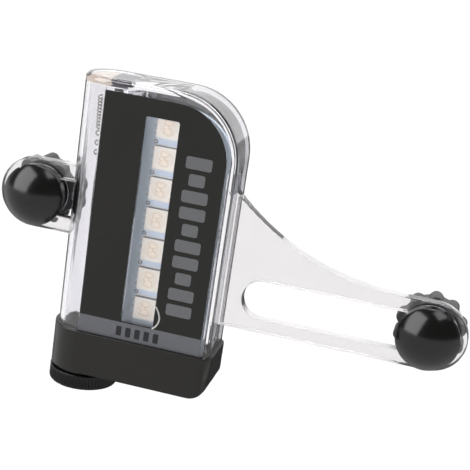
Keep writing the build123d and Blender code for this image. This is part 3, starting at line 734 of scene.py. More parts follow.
def dressed_copy(node: str, name: str, finish: Finish, body: str,
                 edge: Edge = Edge.MOULDED, sharp: float = CRISP_COPIED) -> bpy.types.Object:
    """Copies a CAD node's mesh, merges it, breaks its edges and dresses it.

    Args:
        node: CAD node to copy and replace.
        name: Name of the new piece.
        finish: Its finish.
        body: CAD body that it rides on.
        edge: How its edges are broken.
        sharp: Angle in degrees above which an edge stays crisp.

    Returns:
        The new object.
    """
    mesh = frame["nodes"][node].data.copy()
    mesh.name = name
    work = bmesh.new()
    work.from_mesh(mesh)
    bmesh.ops.remove_doubles(work, verts=work.verts, dist=MERGE_DISTANCE)
    bmesh.ops.dissolve_limit(work, angle_limit=math.radians(FLAT_WITHIN), verts=work.verts,
                             edges=work.edges)
    work.to_mesh(mesh)
    work.free()
    for layer in list(mesh.uv_layers):
        mesh.uv_layers.remove(layer)
    mesh.shade_smooth()
    mesh.set_sharp_from_angle(angle=math.radians(sharp))
    piece = place_piece(name, mesh, finish, body, (node,))
    if edge.value > 0:
        bevel = piece.modifiers.new("broken_edges", "BEVEL")
        bevel.width = edge.value * MM
        bevel.segments = 2
        bevel.limit_method = "ANGLE"
        bevel.angle_limit = math.radians(BEVEL_ABOVE)
    weights = piece.modifiers.new("face_weights", "WEIGHTED_NORMAL")
    weights.keep_sharp = True
    return piece


def cut(mesh: bpy.types.Mesh, tool: bpy.types.Mesh) -> bpy.types.Mesh:
    """Cuts one closed mesh out of another.

    Args:
        mesh: Mesh that is worked on.
        tool: Mesh of the cutter.

    Returns:
        A new mesh with the result.
    """
    scene = bpy.context.scene.collection.objects
    worked = bpy.data.objects.new("worked", mesh)
    cutter = bpy.data.objects.new("cutter", tool)
    scene.link(worked)
    scene.link(cutter)
    step = worked.modifiers.new("cut", "BOOLEAN")
    step.operation = "DIFFERENCE"
    step.solver = "EXACT"
    step.object = cutter
    graph = bpy.context.evaluated_depsgraph_get()
    result = bpy.data.meshes.new_from_object(worked.evaluated_get(graph))
    bpy.data.objects.remove(worked)
    bpy.data.objects.remove(cutter)
    result.shade_smooth()
    result.set_sharp_from_angle(angle=math.radians(CRISP_BUILT))
    return result


@dataclass
class ClearCase:
    """The clear moulding with its ear and arm.

    Attributes:
        hollow_mm: Left and right side of the hollow case.
        frosted_mm: Left end of the frosted part of the arm's upper edge and of its slot's edge;
            nearer the case they are polished.
        slot_top_mm: Height between the arm's upper edge, at its root, and its slot.
        frost_end_mm: Right end of the frosted edges, beside the clamp.
        flat_share: Part of a normal that lies along Y on the plate's broad faces, at least.
        cut_reach: Distance in metres within which a point counts as on the cutting plane.
    """

    hollow_mm: tuple[float, float] = (11.25, 45.65)
    frosted_mm: tuple[float, float] = (55.5, 51.3)
    slot_top_mm: float = -6.0
    frost_end_mm: float = 82.5
    flat_share: float = 0.9
    cut_reach: float = 1e-7

    def build(self) -> None:
        """Dresses the moulding, with finishes of their own for the plate and its edges.

        Its faces are divided where the frosted edges end. It casts no shadow, so that light
        reaches what it holds.
        """
        case = dressed_copy("clear_case", "case_clear_moulding", CLEAR, "case")
        form = bmesh.new()
        form.from_mesh(case.data)
        bmesh.ops.bisect_plane(form, geom=[*form.verts, *form.edges, *form.faces],
                               dist=self.cut_reach, plane_co=(self.frost_end_mm * MM, 0.0, 0.0),
                               plane_no=(1.0, 0.0, 0.0))
        form.to_mesh(case.data)
        form.free()
        tidy(case.data, CRISP_BUILT)
        case.data.materials.append(PLATE.material())
        case.data.materials.append(PLATE_EDGE.material())
        for face in case.data.polygons:
            across = face.center.x / MM
            if self.hollow_mm[0] < across < self.hollow_mm[1]:
                continue
            start = self.frosted_mm[0 if face.center.z / MM > self.slot_top_mm else 1]
            is_edge = abs(face.normal.y) < self.flat_share and start < across < self.frost_end_mm
            face.material_index = 2 if is_edge else 1
        case.visible_shadow = False


@dataclass
class Label:
    """Film label of one face, with a generic rhythm of printed bars.

    Attributes:
        side: Face that it is on.
        bars: Number of printed bars.
        right_gap_mm: Distance from the label's right edge to the long bars' right ends.
        width_mm: Length of a long bar.
        short_share: Length of a short bar, as a share of a long one. Every third bar is short.
        pitch_mm: Distance from bar to bar.
        height_mm: Height of a bar.
        corner_mm: Radius of a bar's corners.
        top_mm: Distance from the label's top to the first bar's middle.
        ink_mm: Thickness of the ink.
        strip_bars_mm: X of the middles of the dark bars on the grey foot strip.
        strip_bar_size_mm: Width and height of one of them.
        strip_bar_height_mm: Height of their middles.
        bead_mm: X and Z of the points that the bead along the film's lifted edge follows.
        bead_radius_mm: Half the thickness of the bead.
    """

    side: Side
    bars: int = 10
    right_gap_mm: float = 2.8
    width_mm: float = 5.4
    short_share: float = 0.62
    pitch_mm: float = 3.45
    height_mm: float = 2.5
    corner_mm: float = 0.5
    top_mm: float = 11.2
    ink_mm: float = 0.02
    strip_bars_mm: tuple[float, ...] = (26.2, 28.2, 30.2, 32.2, 34.2)
    strip_bar_size_mm: tuple[float, float] = (1.15, 2.1)
    strip_bar_height_mm: float = -23.95
    bead_mm: tuple[tuple[float, float], ...] = (
        (33.4, -17.0), (33.95, -17.8), (34.4, -18.8), (34.52, -19.7), (34.3, -20.6),
        (33.8, -21.4), (33.2, -21.9))
    bead_radius_mm: float = 0.17

    def bead(self, face: float) -> Patch:
        """Thin pale bead along the film's lifted edge beside the window's foot, which paints the
        glint on that edge.

        It is a tube along the line through the given points. The line is divided in eight
        between neighbours, and then each of its points takes the mean of itself and its two
        neighbours, twelve times over.

        Args:
            face: Depth of the label's outer face.

        Returns:
            Vertices and quads.
        """
        points = np.array(self.bead_mm)
        place = np.linspace(0, len(points) - 1, 8 * (len(points) - 1) + 1)
        line = np.stack([np.interp(place, np.arange(len(points)), points[:, k])
                         for k in (0, 1)], axis=1)
        for _ in range(12):
            line[1:-1] = (line[:-2] + line[1:-1] + line[2:]) / 3
        path = np.column_stack([line[:, 0], np.full(len(line), face / MM), line[:, 1]]) * MM
        guide = np.tile([0.0, 1.0, 0.0], (len(path), 1))
        return tube(path, guide, self.bead_radius_mm * MM, 10)

    def printed(self, bars: list[tuple[float, float, float]], height: float, corner: float,
                face: float) -> Patch:
        """Bars of ink on the film, as thin plates with round corners.

        Args:
            bars: X and Z of each bar's middle, and its width, in metres.
            height: Height of the bars.
            corner: Radius of their corners.
            face: Depth of the label's outer face.

        Returns:
            Vertices and quads.
        """
        depths = sorted((face, face + self.side.value * self.ink_mm * MM))
        return joined([prism(bar_outline((x, z), width, height, corner), *depths)
                       for x, z, width in bars])

    def build(self) -> None:
        """Builds the film, the bars printed on it and, on the front, the pale bead that paints the
        glint of the film's lifted edge.
        """
        name = f"{self.side.name.lower()}_label"
        dressed_copy(name, f"{name}_film", FILM, "case")
        box = Span.of(name)
        face = box.low[1] if self.side is Side.FRONT else box.high[1]
        middle = box.high[0] - (self.right_gap_mm + self.width_mm / 2) * MM
        column = [(middle, box.high[2] - (self.top_mm + i * self.pitch_mm) * MM,
                   self.width_mm * (self.short_share if i % 3 == 1 else 1.0) * MM)
                  for i in range(self.bars)]
        patch = self.printed(column, self.height_mm * MM, self.corner_mm * MM, face)
        build_piece(f"{name}_bars", patch, INK, "case", "printed_label")
        width, height = self.strip_bar_size_mm
        strip = [(x * MM, self.strip_bar_height_mm * MM, width * MM) for x in self.strip_bars_mm]
        patch = self.printed(strip, height * MM, self.corner_mm / 2 * MM, face)
        build_piece(f"{name}_strip_bars", patch, DARK_INK, "case", "printed_label")
        if self.side is Side.FRONT:
            # The film's lifted edge is a pale bead: a painted glint along it.
            build_piece("label_glue_bead", self.bead(face), FILM_EDGE_GLINT, "case", "printed_label")


@dataclass
class LampColumn:
    """Seven square lamps on one face of the board, with their gel and dies.

    Attributes:
        side: Face of the board.
        count: Number of lamps.
        bowl_mm: Radius of the bowl's rim and of its floor.
        bowl_depth_mm: Depth of the bowl's floor below the lamp's top.
        edge_mm: Rounding of the face's outline.
        draft_mm: How much the face is smaller than the foot, on each side.
        chamfer_mm: How much of each side the cut across one corner takes.
        square_power: Exponent of the outline, where 2 is a circle.
        gel_sink_mm: Depth of the gel's edge below the lamp's top.
        gel_climb_mm: Height of the gel's edge over its middle.
        gel_foot_mm: Height of the gel's underside over the bowl's floor.
        gel_foot_share: Radius of the underside, as a share of the gel's.
        dies_mm: X, Z, half width and half height of the dies' domes, from the lamp's middle.
        dome_root_mm: Depth of the domes' feet below the gel's edge.
        rim_dome: Width added all round and height of the domes' rims, in millimetres, and how
            flat their tops and steep their sides are.
        phosphor_dome: The same three of the domes themselves.
        segments: Steps round a lamp.
    """

    side: Side
    count: int = 7
    bowl_mm: tuple[float, float] = (2.0, 1.6)
    bowl_depth_mm: float = 0.5
    edge_mm: float = 0.06
    draft_mm: float = 0.13
    chamfer_mm: float = 0.4
    square_power: int = 40
    gel_sink_mm: float = 0.06
    gel_climb_mm: float = 0.06
    gel_foot_mm: float = 0.02
    gel_foot_share: float = 0.8
    dies_mm: tuple[tuple[float, float, float, float], ...] = (
        (0.0, 0.98, 1.0, 0.62), (-0.5, 0.0, 0.6, 0.5), (0.0, -0.88, 1.02, 0.74))
    dome_root_mm: float = 0.08
    rim_dome: tuple[float, float, int] = (0.1, 0.08, 12)
    phosphor_dome: tuple[float, float, int] = (0.0, 0.13, 4)
    segments: int = 96

    def __post_init__(self) -> None:
        """Finds the lamps' size and their middles on the board from the box of the CAD node."""
        self.name = self.side.name.lower()
        box = Span.of(f"{self.name}_leds")
        self.half = box.size[0] / 2
        self.height = box.size[1]
        pitch = (box.size[2] - 2 * self.half) / (self.count - 1)
        heights = box.high[2] - self.half - pitch * np.arange(self.count)
        foot = box.high[1] if self.side is Side.FRONT else box.low[1]
        self.places = np.column_stack([np.full(self.count, box.centre[0]),
                                       np.full(self.count, foot), heights])

    def outward(self, points: np.ndarray) -> np.ndarray:
        """Turns points of across, up and outwards into the frame's X, Y and Z."""
        across, up, out = points[..., 0], points[..., 1], points[..., 2]
        return np.stack([across, self.side.value * out, up], axis=-1)

    def housing(self) -> Patch:
        """One lamp body with its bowl.

        The outline is a circle in the bowl and nearly a square outside it, whose radius at the
        angle t is half / (|cos t|^n + |sin t|^n)^(1/n), cut off by a line across one corner.
        Rows run from the bowl's floor over the top to the foot.

        Returns:
            Vertices and quads round the lamp's middle on the board.
        """
        t = full_turn(self.segments)
        power = self.square_power
        square = (np.abs(np.cos(t)) ** power + np.abs(np.sin(t)) ** power) ** (-1 / power)
        # The cut line lies at the distance reach, measured along the corner's own direction.
        along = np.maximum(np.cos(t + TURN / 8), 0.5)
        reach = (math.sqrt(2) * self.half - self.chamfer_mm * MM / math.sqrt(2)) / self.half
        square = np.where(along > 0.5, np.minimum(square, reach / along), square)
        rim, floor = self.bowl_mm[0] * MM, self.bowl_mm[1] * MM
        edge, draft = self.edge_mm * MM, self.draft_mm * MM
        deep = self.height - self.bowl_depth_mm * MM
        # Radius, 1 where the row is square, and height of each row.
        rows = np.array([
            (0.0, 0, deep), (floor, 0, deep), (rim - edge / 2, 0, self.height - edge / 2),
            (rim, 0, self.height), (self.half - draft - edge, 1, self.height),
            (self.half - draft, 1, self.height - edge), (self.half, 1, 0.0), (0.0, 0, 0.0)])
        radius = rows[:, :1] * np.where(rows[:, 1:2] == 1, square, 1.0)
        return grid(self.outward(ellipses(radius, radius, rows[:, 2:], t)))

    def gel(self) -> Patch:
        """Filling of the bowl: a disc whose top climbs to its edge as r squared.

        Returns:
            Vertices and quads round the lamp's middle on the board.
        """
        rim = self.bowl_mm[0] * MM - self.edge_mm * MM
        share = np.linspace(0, 1, 10)
        middle = self.height - (self.gel_sink_mm + self.gel_climb_mm) * MM
        top = middle + self.gel_climb_mm * MM * share ** 2
        floor = self.height - (self.bowl_depth_mm - self.gel_foot_mm) * MM
        profile = np.vstack([np.column_stack([share * rim, top]),
                             [(self.gel_foot_share * rim, floor), (0.0, floor)]])
        radius, height = profile[:, :1], profile[:, 1:]
        return grid(self.outward(ellipses(radius, radius, height, full_turn(self.segments))))

    def die_domes(self, grow: float, rise: float, steep: int) -> Patch:
        """Low domes over the dies of one lamp, with a wavy outline.

        The outline is the dome's ellipse, whose radii are grown and then multiplied by
        1 + 0.09 cos(3 t + k) + 0.05 cos(5 t - 2 k), and the height at the share s of the
        radius is rise * (1 - s^steep).

        Args:
            grow: Millimetres added to each radius.
            rise: Height over the foot, in millimetres.
            steep: How flat the top and how steep the side is.

        Returns:
            Vertices and quads round the lamp's middle on the board.
        """
        t = full_turn(40)
        share = np.linspace(0, 1, 6)[:, None]
        base = self.height - (self.gel_sink_mm + self.dome_root_mm) * MM
        height = base + rise * MM * (1 - share ** steep)
        patches = []
        for k, (x, z, wide, high) in enumerate(self.dies_mm):
            wave = MM * (1 + 0.09 * np.cos(3 * t + k) + 0.05 * np.cos(5 * t - 2 * k))
            points = ellipses(share * (wide + grow) * wave, share * (high + grow) * wave,
                              height, t) + np.array([x, z, 0.0]) * MM
            foot = points[-1:].copy()
            foot[..., :2] = points[:1, :, :2]
            patches.append(grid(self.outward(np.concatenate([points, foot]))))
        return joined(patches)

    def mound(self, reach: tuple[float, float], rise: float) -> Patch:
        """Half ellipsoid of solder that stands on the board.

        Rows are rings of radius cos p and height sin p, for p from a quarter turn to zero,
        and a last row closes the foot.

        Args:
            reach: Half extents across and up, in metres.
            rise: Height, in metres.

        Returns:
            Vertices and quads.
        """
        p = np.linspace(TURN / 4, 0, 5)[:, None]
        radius = np.vstack([np.cos(p), [[0.0]]])
        height = np.vstack([np.sin(p), [[0.0]]]) * rise
        return grid(self.outward(ellipses(reach[0] * radius, reach[1] * radius, height,
                                          full_turn(12))))

    def build(self) -> None:
        """Builds the lamps' bodies, gel and dies."""
        pieces = (
            ("lamp_bodies", self.housing(), LAMP_WHITE, "lamp_housing", ("leds",)),
            ("lamp_gel", self.gel(), GEL, "lamp_gel", ("led_lenses",)),
            ("lamp_die_rims", self.die_domes(*self.rim_dome), DIE_RIM, "lamp_gel", ()),
            ("lamp_phosphor", self.die_domes(*self.phosphor_dome), PHOSPHOR, "lamp_gel", ()),
        )
        for piece, patch, finish, slot, nodes in pieces:
            build_piece(f"{self.name}_{piece}", copies(patch, self.places), finish, "case", slot,
                        *(f"{self.name}_{node}" for node in nodes))


@dataclass
class Solder:
    """Solder feet at the lamps' sides, solder domes between the lamps, dark print round the domes,
    and a painted shade line on each lamp's upper side.

    Attributes:
        rows_mm: Heights of the feet from the lamp's middle.
        foot_mm: Reach and width of a foot.
        rise_mm: Height of a foot and of a dome.
        dot_mm: Radius of a dome.
        print_mm: Thickness of the print.
        ring_dots: Width and corner radius of the print round a dome, in radii of the dome.
        line_mm: Half the thickness of the dark line on a lamp's upper side, which is painted
            shade.
        line_deep_mm: How far the line reaches back from the lamp's face.
        line_halves: Length of the line, in half widths of the lamp.
    """

    rows_mm: tuple[float, ...] = (-1.6, 0.0, 1.6)
    foot_mm: tuple[float, float] = (0.9, 0.9)
    rise_mm: float = 0.35
    dot_mm: float = 0.3
    print_mm: float = 0.012
    ring_dots: tuple[float, float] = (3.0, 1.45)
    line_mm: float = 0.04
    line_deep_mm: float = 0.85
    line_halves: float = 1.92

    def build(self, columns: tuple[LampColumn, LampColumn]) -> None:
        """Builds the feet, the domes, the painted shade line over each lamp and the dark print
        round the domes.

        Args:
            columns: The lamps of the two faces.
        """
        feet, dots, print_and_shade = [], [], []
        box = Span.of("solder_dots")
        rise, dot_radius, line = self.rise_mm * MM, self.dot_mm * MM, self.line_mm * MM
        ring_width, ring_corner = (share * dot_radius for share in self.ring_dots)
        for column in columns:
            side = column.side.value
            foot = column.mound((self.foot_mm[0] * MM, self.foot_mm[1] * MM / 2), rise)
            offsets = np.array([(edge * column.half, 0.0, row * MM)
                                for edge in (-1, 1) for row in self.rows_mm])
            feet += [copies(foot, place + offsets) for place in column.places]
            between = column.places[1:].copy()
            between[:, 0] = box.centre[0]
            between[:, 2] += box.high[2] - dot_radius - between[0, 2]
            dots.append(copies(column.mound((dot_radius, dot_radius), rise), between))
            board = column.places[0][1]
            face = board + side * (column.height - column.edge_mm * MM)
            strip = sorted((face, face - side * self.line_deep_mm * MM))
            # A thin dark strip on each lamp's upper side: painted shade.
            for place in column.places:
                height = place[2] + column.half - column.draft_mm * MM + line
                outline = bar_outline((place[0], height), self.line_halves * column.half,
                                      2 * line, line / 2)
                print_and_shade.append(prism(outline, *strip))
            ring = bar_outline((0.0, 0.0), ring_width, ring_width, ring_corner)
            ink = sorted((board, board + side * self.print_mm * MM))
            print_and_shade.append(copies(prism(ring, *ink), between * np.array([1.0, 0.0, 1.0])))
        build_piece("lamp_solder_fillets", joined(feet), SOLDER, "case", "solder",
                    "led_solder_feet")
        build_piece("board_solder_domes", joined(dots), SOLDER, "case", "solder", "solder_dots")
        build_piece("board_print_lines", joined(print_and_shade), BOARD_INK_AND_SHADE, "case", "white_board")


@dataclass
class Electronics:
    """The board and the small parts on it.

    Attributes:
        part_body_mm: Half length of a small part's body between its tinned ends.
        can_lip_mm: Depth of the motion switch's rolled lip.
    """

    part_body_mm: float = 0.62
    can_lip_mm: float = 0.12

    def tipped(self, finish: BandedFinish, node: str) -> BandedFinish:
        """Centres a finish's band on a row of small parts."""
        middle = float(Span.of(node).centre[0] / MM)
        return replace(finish, band_mm=(middle - self.part_body_mm, middle + self.part_body_mm))

    def build(self) -> None:
        """Dresses the board, the chip and the small parts, and turns the switch's can."""
        parts = (
            ("circuit_board", "board_lacquered", BOARD, "white_board", Edge.SOFT),
            ("control_chip", "chip_body", EPOXY, "black_epoxy", Edge.SOFT),
            ("chip_legs", "chip_bent_legs", SOLDER, "solder", Edge.STAMPED),
            ("resistors", "resistors_on_board", self.tipped(RESISTOR, "resistors"),
             "black_epoxy", Edge.STAMPED),
            ("capacitors", "capacitors_on_board", self.tipped(CAPACITOR, "capacitors"),
             "ceramic", Edge.STAMPED),
            ("light_sensor", "light_sensor_dome", GEL, "lamp_gel", Edge.SOFT),
        )
        for node, name, finish, slot, edge in parts:
            dressed_copy(node, name, finish, "case", edge)
        build_piece("motion_switch_can", self.motion_can(), TIN_CAN, "case", "contact_steel",
                    "motion_switch")

    def motion_can(self) -> Patch:
        """Turns the motion switch: a can with a rolled lip and a dimpled end.

        Returns:
            Vertices and quads.
        """
        box = Span.of("motion_switch")
        radius, half = box.size[0] / 2 / MM, box.size[2] / 2 / MM
        lip = self.can_lip_mm
        profile = rounded_profile([
            (0.0, -half + lip, 0.0), (radius - 4 * lip, -half + lip, 0.1),
            (radius - 3 * lip, -half, 0.1), (radius, -half, 0.1), (radius, -half + 3 * lip, 0.08),
            (radius - lip, -half + 4 * lip, 0.08), (radius - lip, half, 0.25), (0.0, half, 0.0)])
        return revolved(profile, box.centre, Axis.Z, 48)


@dataclass
class BatteryBay:
    """Contacts and spring of the battery bay.

    Attributes:
        wire_mm: Diameter of the spring's wire.
        radii_mm: Radius of the helix at the top and at the free end.
        tight_turns: Turns wound close.
        open_turns: Turns wound wide.
        pitches_mm: Rise of a close turn and of a wide one.
        lead_degrees: Angle of the helix's start.
        lead_mm: Drop of the straight lead from the contact plate.
        lead_bend_mm: How far the lead keeps its direction at each end of its curve.
        steps: Points of the wire in one turn.
        cup_ring_mm: Distance from the cup's edge to the outer and inner end of the slope that
            leads into its groove.
        cup_boss_mm: Radius of the foot and of the top of the boss in the cup's middle.
        cup_groove_mm: Depth of the groove.
    """

    wire_mm: float = 0.37
    radii_mm: tuple[float, float] = (3.55, 3.1)
    tight_turns: int = 10
    open_turns: int = 3
    pitches_mm: tuple[float, float] = (0.68, 2.0)
    lead_degrees: float = 25.0
    lead_mm: float = 2.45
    lead_bend_mm: float = 2.2
    steps: int = 40
    cup_ring_mm: tuple[float, float] = (0.9, 1.1)
    cup_boss_mm: tuple[float, float] = (1.6, 1.4)
    cup_groove_mm: float = 0.14

    def spring(self) -> Patch:
        """Helix of one wire with a lead bent up to the contact plate.

        At t turns the point is radius(t) * (cos, sin)(t turns + lead angle), and it falls by
        the close pitch for the first turns and then by the wide pitch. The lead is a cubic
        curve from a point under the plate into the helix's first direction.

        Returns:
            Vertices and quads.
        """
        axis, plate = Span.of("cap_o_ring").centre, Span.of("battery_spring").high[2]
        turns = self.tight_turns + self.open_turns
        t = np.linspace(0, turns, turns * self.steps + 1)
        radius = self.radii_mm[0] + (self.radii_mm[1] - self.radii_mm[0]) * t / turns
        angle = t * TURN + math.radians(self.lead_degrees)
        close, wide = self.pitches_mm
        fall = np.minimum(t, self.tight_turns) * close
        fall += np.maximum(t - self.tight_turns, 0) * wide
        helix = np.column_stack([radius * np.cos(angle), radius * np.sin(angle),
                                 -self.lead_mm - fall])
        start, down = np.array([self.radii_mm[0], 0.0, 0.0]), np.array([0.0, 0.0, -1.0])
        first_way = (helix[1] - helix[0]) / np.linalg.norm(helix[1] - helix[0])
        s = np.linspace(0, 1, 16)[:-1, None]
        lead = ((2 * s ** 3 - 3 * s ** 2 + 1) * start + (3 * s ** 2 - 2 * s ** 3) * helix[0]
                + (s ** 3 - 2 * s ** 2 + s) * self.lead_bend_mm * down
                + (s ** 3 - s ** 2) * self.lead_bend_mm * first_way)
        path = np.concatenate([lead, helix])
        guide = path * np.array([1.0, 1.0, 0.0])
        origin = np.array([axis[0], axis[1], plate])
        return tube(path * MM + origin, guide, self.wire_mm / 2 * MM, 10)

    def cup(self) -> Patch:
        """Contact cup of the screw cap: a disc with a round groove about a boss.

        Returns:
            Vertices and quads.
        """
        box = Span.of("cap_contact")
        radius, half = box.size[0] / 2 / MM, box.size[2] / 2 / MM
        (outer, inner), (foot, top) = self.cup_ring_mm, self.cup_boss_mm
        low = half - self.cup_groove_mm
        profile = rounded_profile([
            (0.0, -half, 0.0), (radius, -half, 0.06), (radius, half, 0.06),
            (radius - outer, half, 0.1), (radius - inner, low, 0.1), (foot, low, 0.1),
            (top, half, 0.1), (0.0, half, 0.0)])
        return revolved(profile, box.centre, Axis.Z)

    def build(self) -> None:
        """Builds the spring and the cup, and dresses the other contacts."""
        build_piece("bay_contact_spring", self.spring(), SPRING_WIRE, "case", "spring_steel",
                    "battery_spring")
        dressed_copy("top_contact", "bay_top_contact", BRONZE, "case", Edge.SOFT)
        dressed_copy("neck_contact", "bay_neck_contact", NICKEL, "case",
                     Edge.STAMPED)
        build_piece("cap_contact_cup", self.cup(), NICKEL, "cap_plug", "contact_steel",
                    "cap_contact")


@dataclass
class Base:
    """Black base, its gasket, the mode button and the switch over it.

    Attributes:
        button_mm: Radius of the button's face.
        flange_mm: Width of the flange round it.
        flange_thick_mm: Thickness of the flange.
        post_mm: Radius and height of the post over the button.
        post_gap_mm: How much the post stays below the solid's top, so that the pressed button
            only touches the plunger.
        ring_mm: Radius of the raised ring on the face.
        ring_half_mm: Half the ring's width.
    """

    button_mm: float = 2.5
    flange_mm: float = 0.8
    flange_thick_mm: float = 0.5
    post_mm: float = 1.2
    post_gap_mm: float = 0.04
    ring_mm: float = 1.5
    ring_half_mm: float = 0.25

    def button(self) -> Patch:
        """Mode button: a crowned face with a raised ring, a flange and a post.

        Returns:
            Vertices and quads.
        """
        box = Span.of("mode_button")
        top = box.size[2] / MM
        post = top - self.post_mm
        flange = post - self.flange_thick_mm
        wide = self.button_mm + self.flange_mm
        tip = top - self.post_gap_mm
        profile = rounded_profile([
            (0.0, 0.12, 0.0), (self.ring_mm - self.ring_half_mm, 0.1, 0.1),
            (self.ring_mm, 0.0, 0.1), (self.ring_mm + self.ring_half_mm, 0.1, 0.1),
            (self.button_mm, 0.2, 0.45), (self.button_mm, flange, 0.05), (wide, flange, 0.08),
            (wide, post, 0.08), (self.post_mm, post, 0.05), (self.post_mm, tip, 0.15),
            (0.0, tip, 0.0)])
        centre = np.array([box.centre[0], box.centre[1], box.low[2]])
        return revolved(profile, centre, Axis.Z, 72)

    def build(self) -> None:
        """Dresses the base, the gasket, the switch and its wires, and turns the button."""
        dressed_copy("base_cap", "base_black_moulding", SATIN_ABS, "case")
        dressed_copy("base_gasket", "base_seal", RUBBER, "case")
        build_piece("mode_button_skin", self.button(), RUBBER, "button", "black_rubber",
                    "mode_button")
        dressed_copy("switch_body", "switch_housing", EPOXY, "case", Edge.SOFT)
        dressed_copy("switch_plunger", "switch_plunger_pin", WHITE_NYLON, "plunger",
                     Edge.STAMPED)
        dressed_copy("switch_leads", "switch_wire_pair", SLEEVE, "case")


@dataclass
class ScrewCap:
    """Knurled cap of the battery bay, with its threaded plug, coin slot and sealing ring.

    Attributes:
        ribs: Number of ribs round the cap.
        rib_mm: Depth of the hollows between the ribs.
        height_mm: Height of the knurled part.
        round_mm: Rounding of the lower edge.
        plug_mm: Radius of the plug.
        wall_mm: Wall of the plug.
        seat_mm: Radius of the seat between cap and plug.
        seat_rise_mm: Height of the seat.
        floor_mm: Height of the floor inside the plug.
        thread_mm: Pitch and depth of the plug's thread.
        slot_mm: Length, width and depth of the coin slot.
        slot_corner_mm: Radius of the slot's corners.
        segments: Steps round the cap.
    """

    ribs: int = 60
    rib_mm: float = 0.24
    height_mm: float = 3.3
    round_mm: float = 0.5
    plug_mm: float = 5.43
    wall_mm: float = 1.1
    seat_mm: float = 5.72
    seat_rise_mm: float = 0.33
    floor_mm: float = 3.0
    thread_mm: tuple[float, float] = (1.0, 0.22)
    slot_mm: tuple[float, float, float] = (10.0, 1.4, 1.0)
    slot_corner_mm: float = 0.2
    segments: int = 720

    def body(self) -> bpy.types.Mesh:
        """Cap and plug in one surface.

        On the cap's wall the radius loses rib * cos^2(ribs t / 2), which fades out towards
        both of the wall's edges. On the plug it loses the thread's depth times the share that
        thread_hollow gives, which fades out towards both ends.

        Returns:
            The mesh with its coin slot cut.
        """
        box = Span.of("screw_cap")
        radius, top = box.size[0] / 2 / MM, box.size[2] / MM
        pitch, depth = self.thread_mm
        wall, plug, floor = self.height_mm, self.plug_mm, self.floor_mm
        plug_low, bore = wall + self.seat_rise_mm, plug - self.wall_mm
        corners = [(0.0, 0.0, 0.0), (radius - 1.3, 0.0, 0.1), (radius, 0.16, self.round_mm)]
        corners += [(radius, wall * share, 0.0) for share in (0.22, 0.4, 0.6, 0.78)]
        corners += [(radius, wall, 0.22), (self.seat_mm, wall, 0.05),
                    (self.seat_mm, plug_low, 0.08), (plug, plug_low, 0.05)]
        corners += [(plug, z, 0.0) for z in np.arange(plug_low + 0.25, top - 0.25, pitch / 8)]
        corners += [(plug, top, 0.15), (bore, top, 0.12), (bore, floor, 0.3), (0.0, floor, 0.0)]
        profile = rounded_profile(corners, 4)
        t = full_turn(self.segments)
        reach, height = profile[:, :1] / MM, profile[:, 1:] / MM
        on_wall = (reach > radius - 0.3) & (height < wall - 0.12)
        fade = ramp(height - 0.2, 0.5) * ramp(wall - 0.25 - height, 0.3)
        ribs = -self.rib_mm * np.cos(self.ribs * t / 2) ** 2 * on_wall * fade
        on_plug = (reach > plug - 0.2) & (height > plug_low + 0.2)
        ends = ramp(top - 0.3 - height, 0.4) * ramp(height - plug_low - 0.2, 0.4)
        thread = -depth * thread_hollow(height - plug_low, pitch, t) * on_plug * ends
        low = np.array([box.centre[0], box.centre[1], box.low[2]])
        patch = revolved(profile, low, Axis.Z, self.segments, (ribs + thread) * MM)
        return cut(mesh_of("screw_cap_body", patch), self.coin_slot(low))

    def coin_slot(self, low: np.ndarray) -> bpy.types.Mesh:
        """Cutter of the coin slot, which starts half a millimetre below the cap.

        Args:
            low: Middle of the cap's underside.

        Returns:
            The cutter's mesh.
        """
        length, width, deep = (size * MM for size in self.slot_mm)
        outline = bar_outline((low[0], low[1]), length, width, self.slot_corner_mm * MM)
        points, faces = prism(outline, low[2] - 0.5 * MM, low[2] + deep)
        return mesh_of("coin_slot", (points[:, [0, 2, 1]], faces))

    def build(self) -> None:
        """Builds the cap and its sealing ring."""
        place_piece("screw_cap_knurled", self.body(), DEEP_ABS, "cap",
                    ("screw_cap",))
        box = Span.of("cap_o_ring")
        section = box.size[2] / 2
        t = full_turn(16)
        profile = np.column_stack([box.size[0] / 2 - section + section * np.cos(t),
                                   section * np.sin(t)])
        patch = revolved(profile, box.centre, Axis.Z, closed=True)
        build_piece("cap_sealing_ring", patch, RUBBER, "cap_plug", "black_rubber", "cap_o_ring",
                    sharp=80.0)


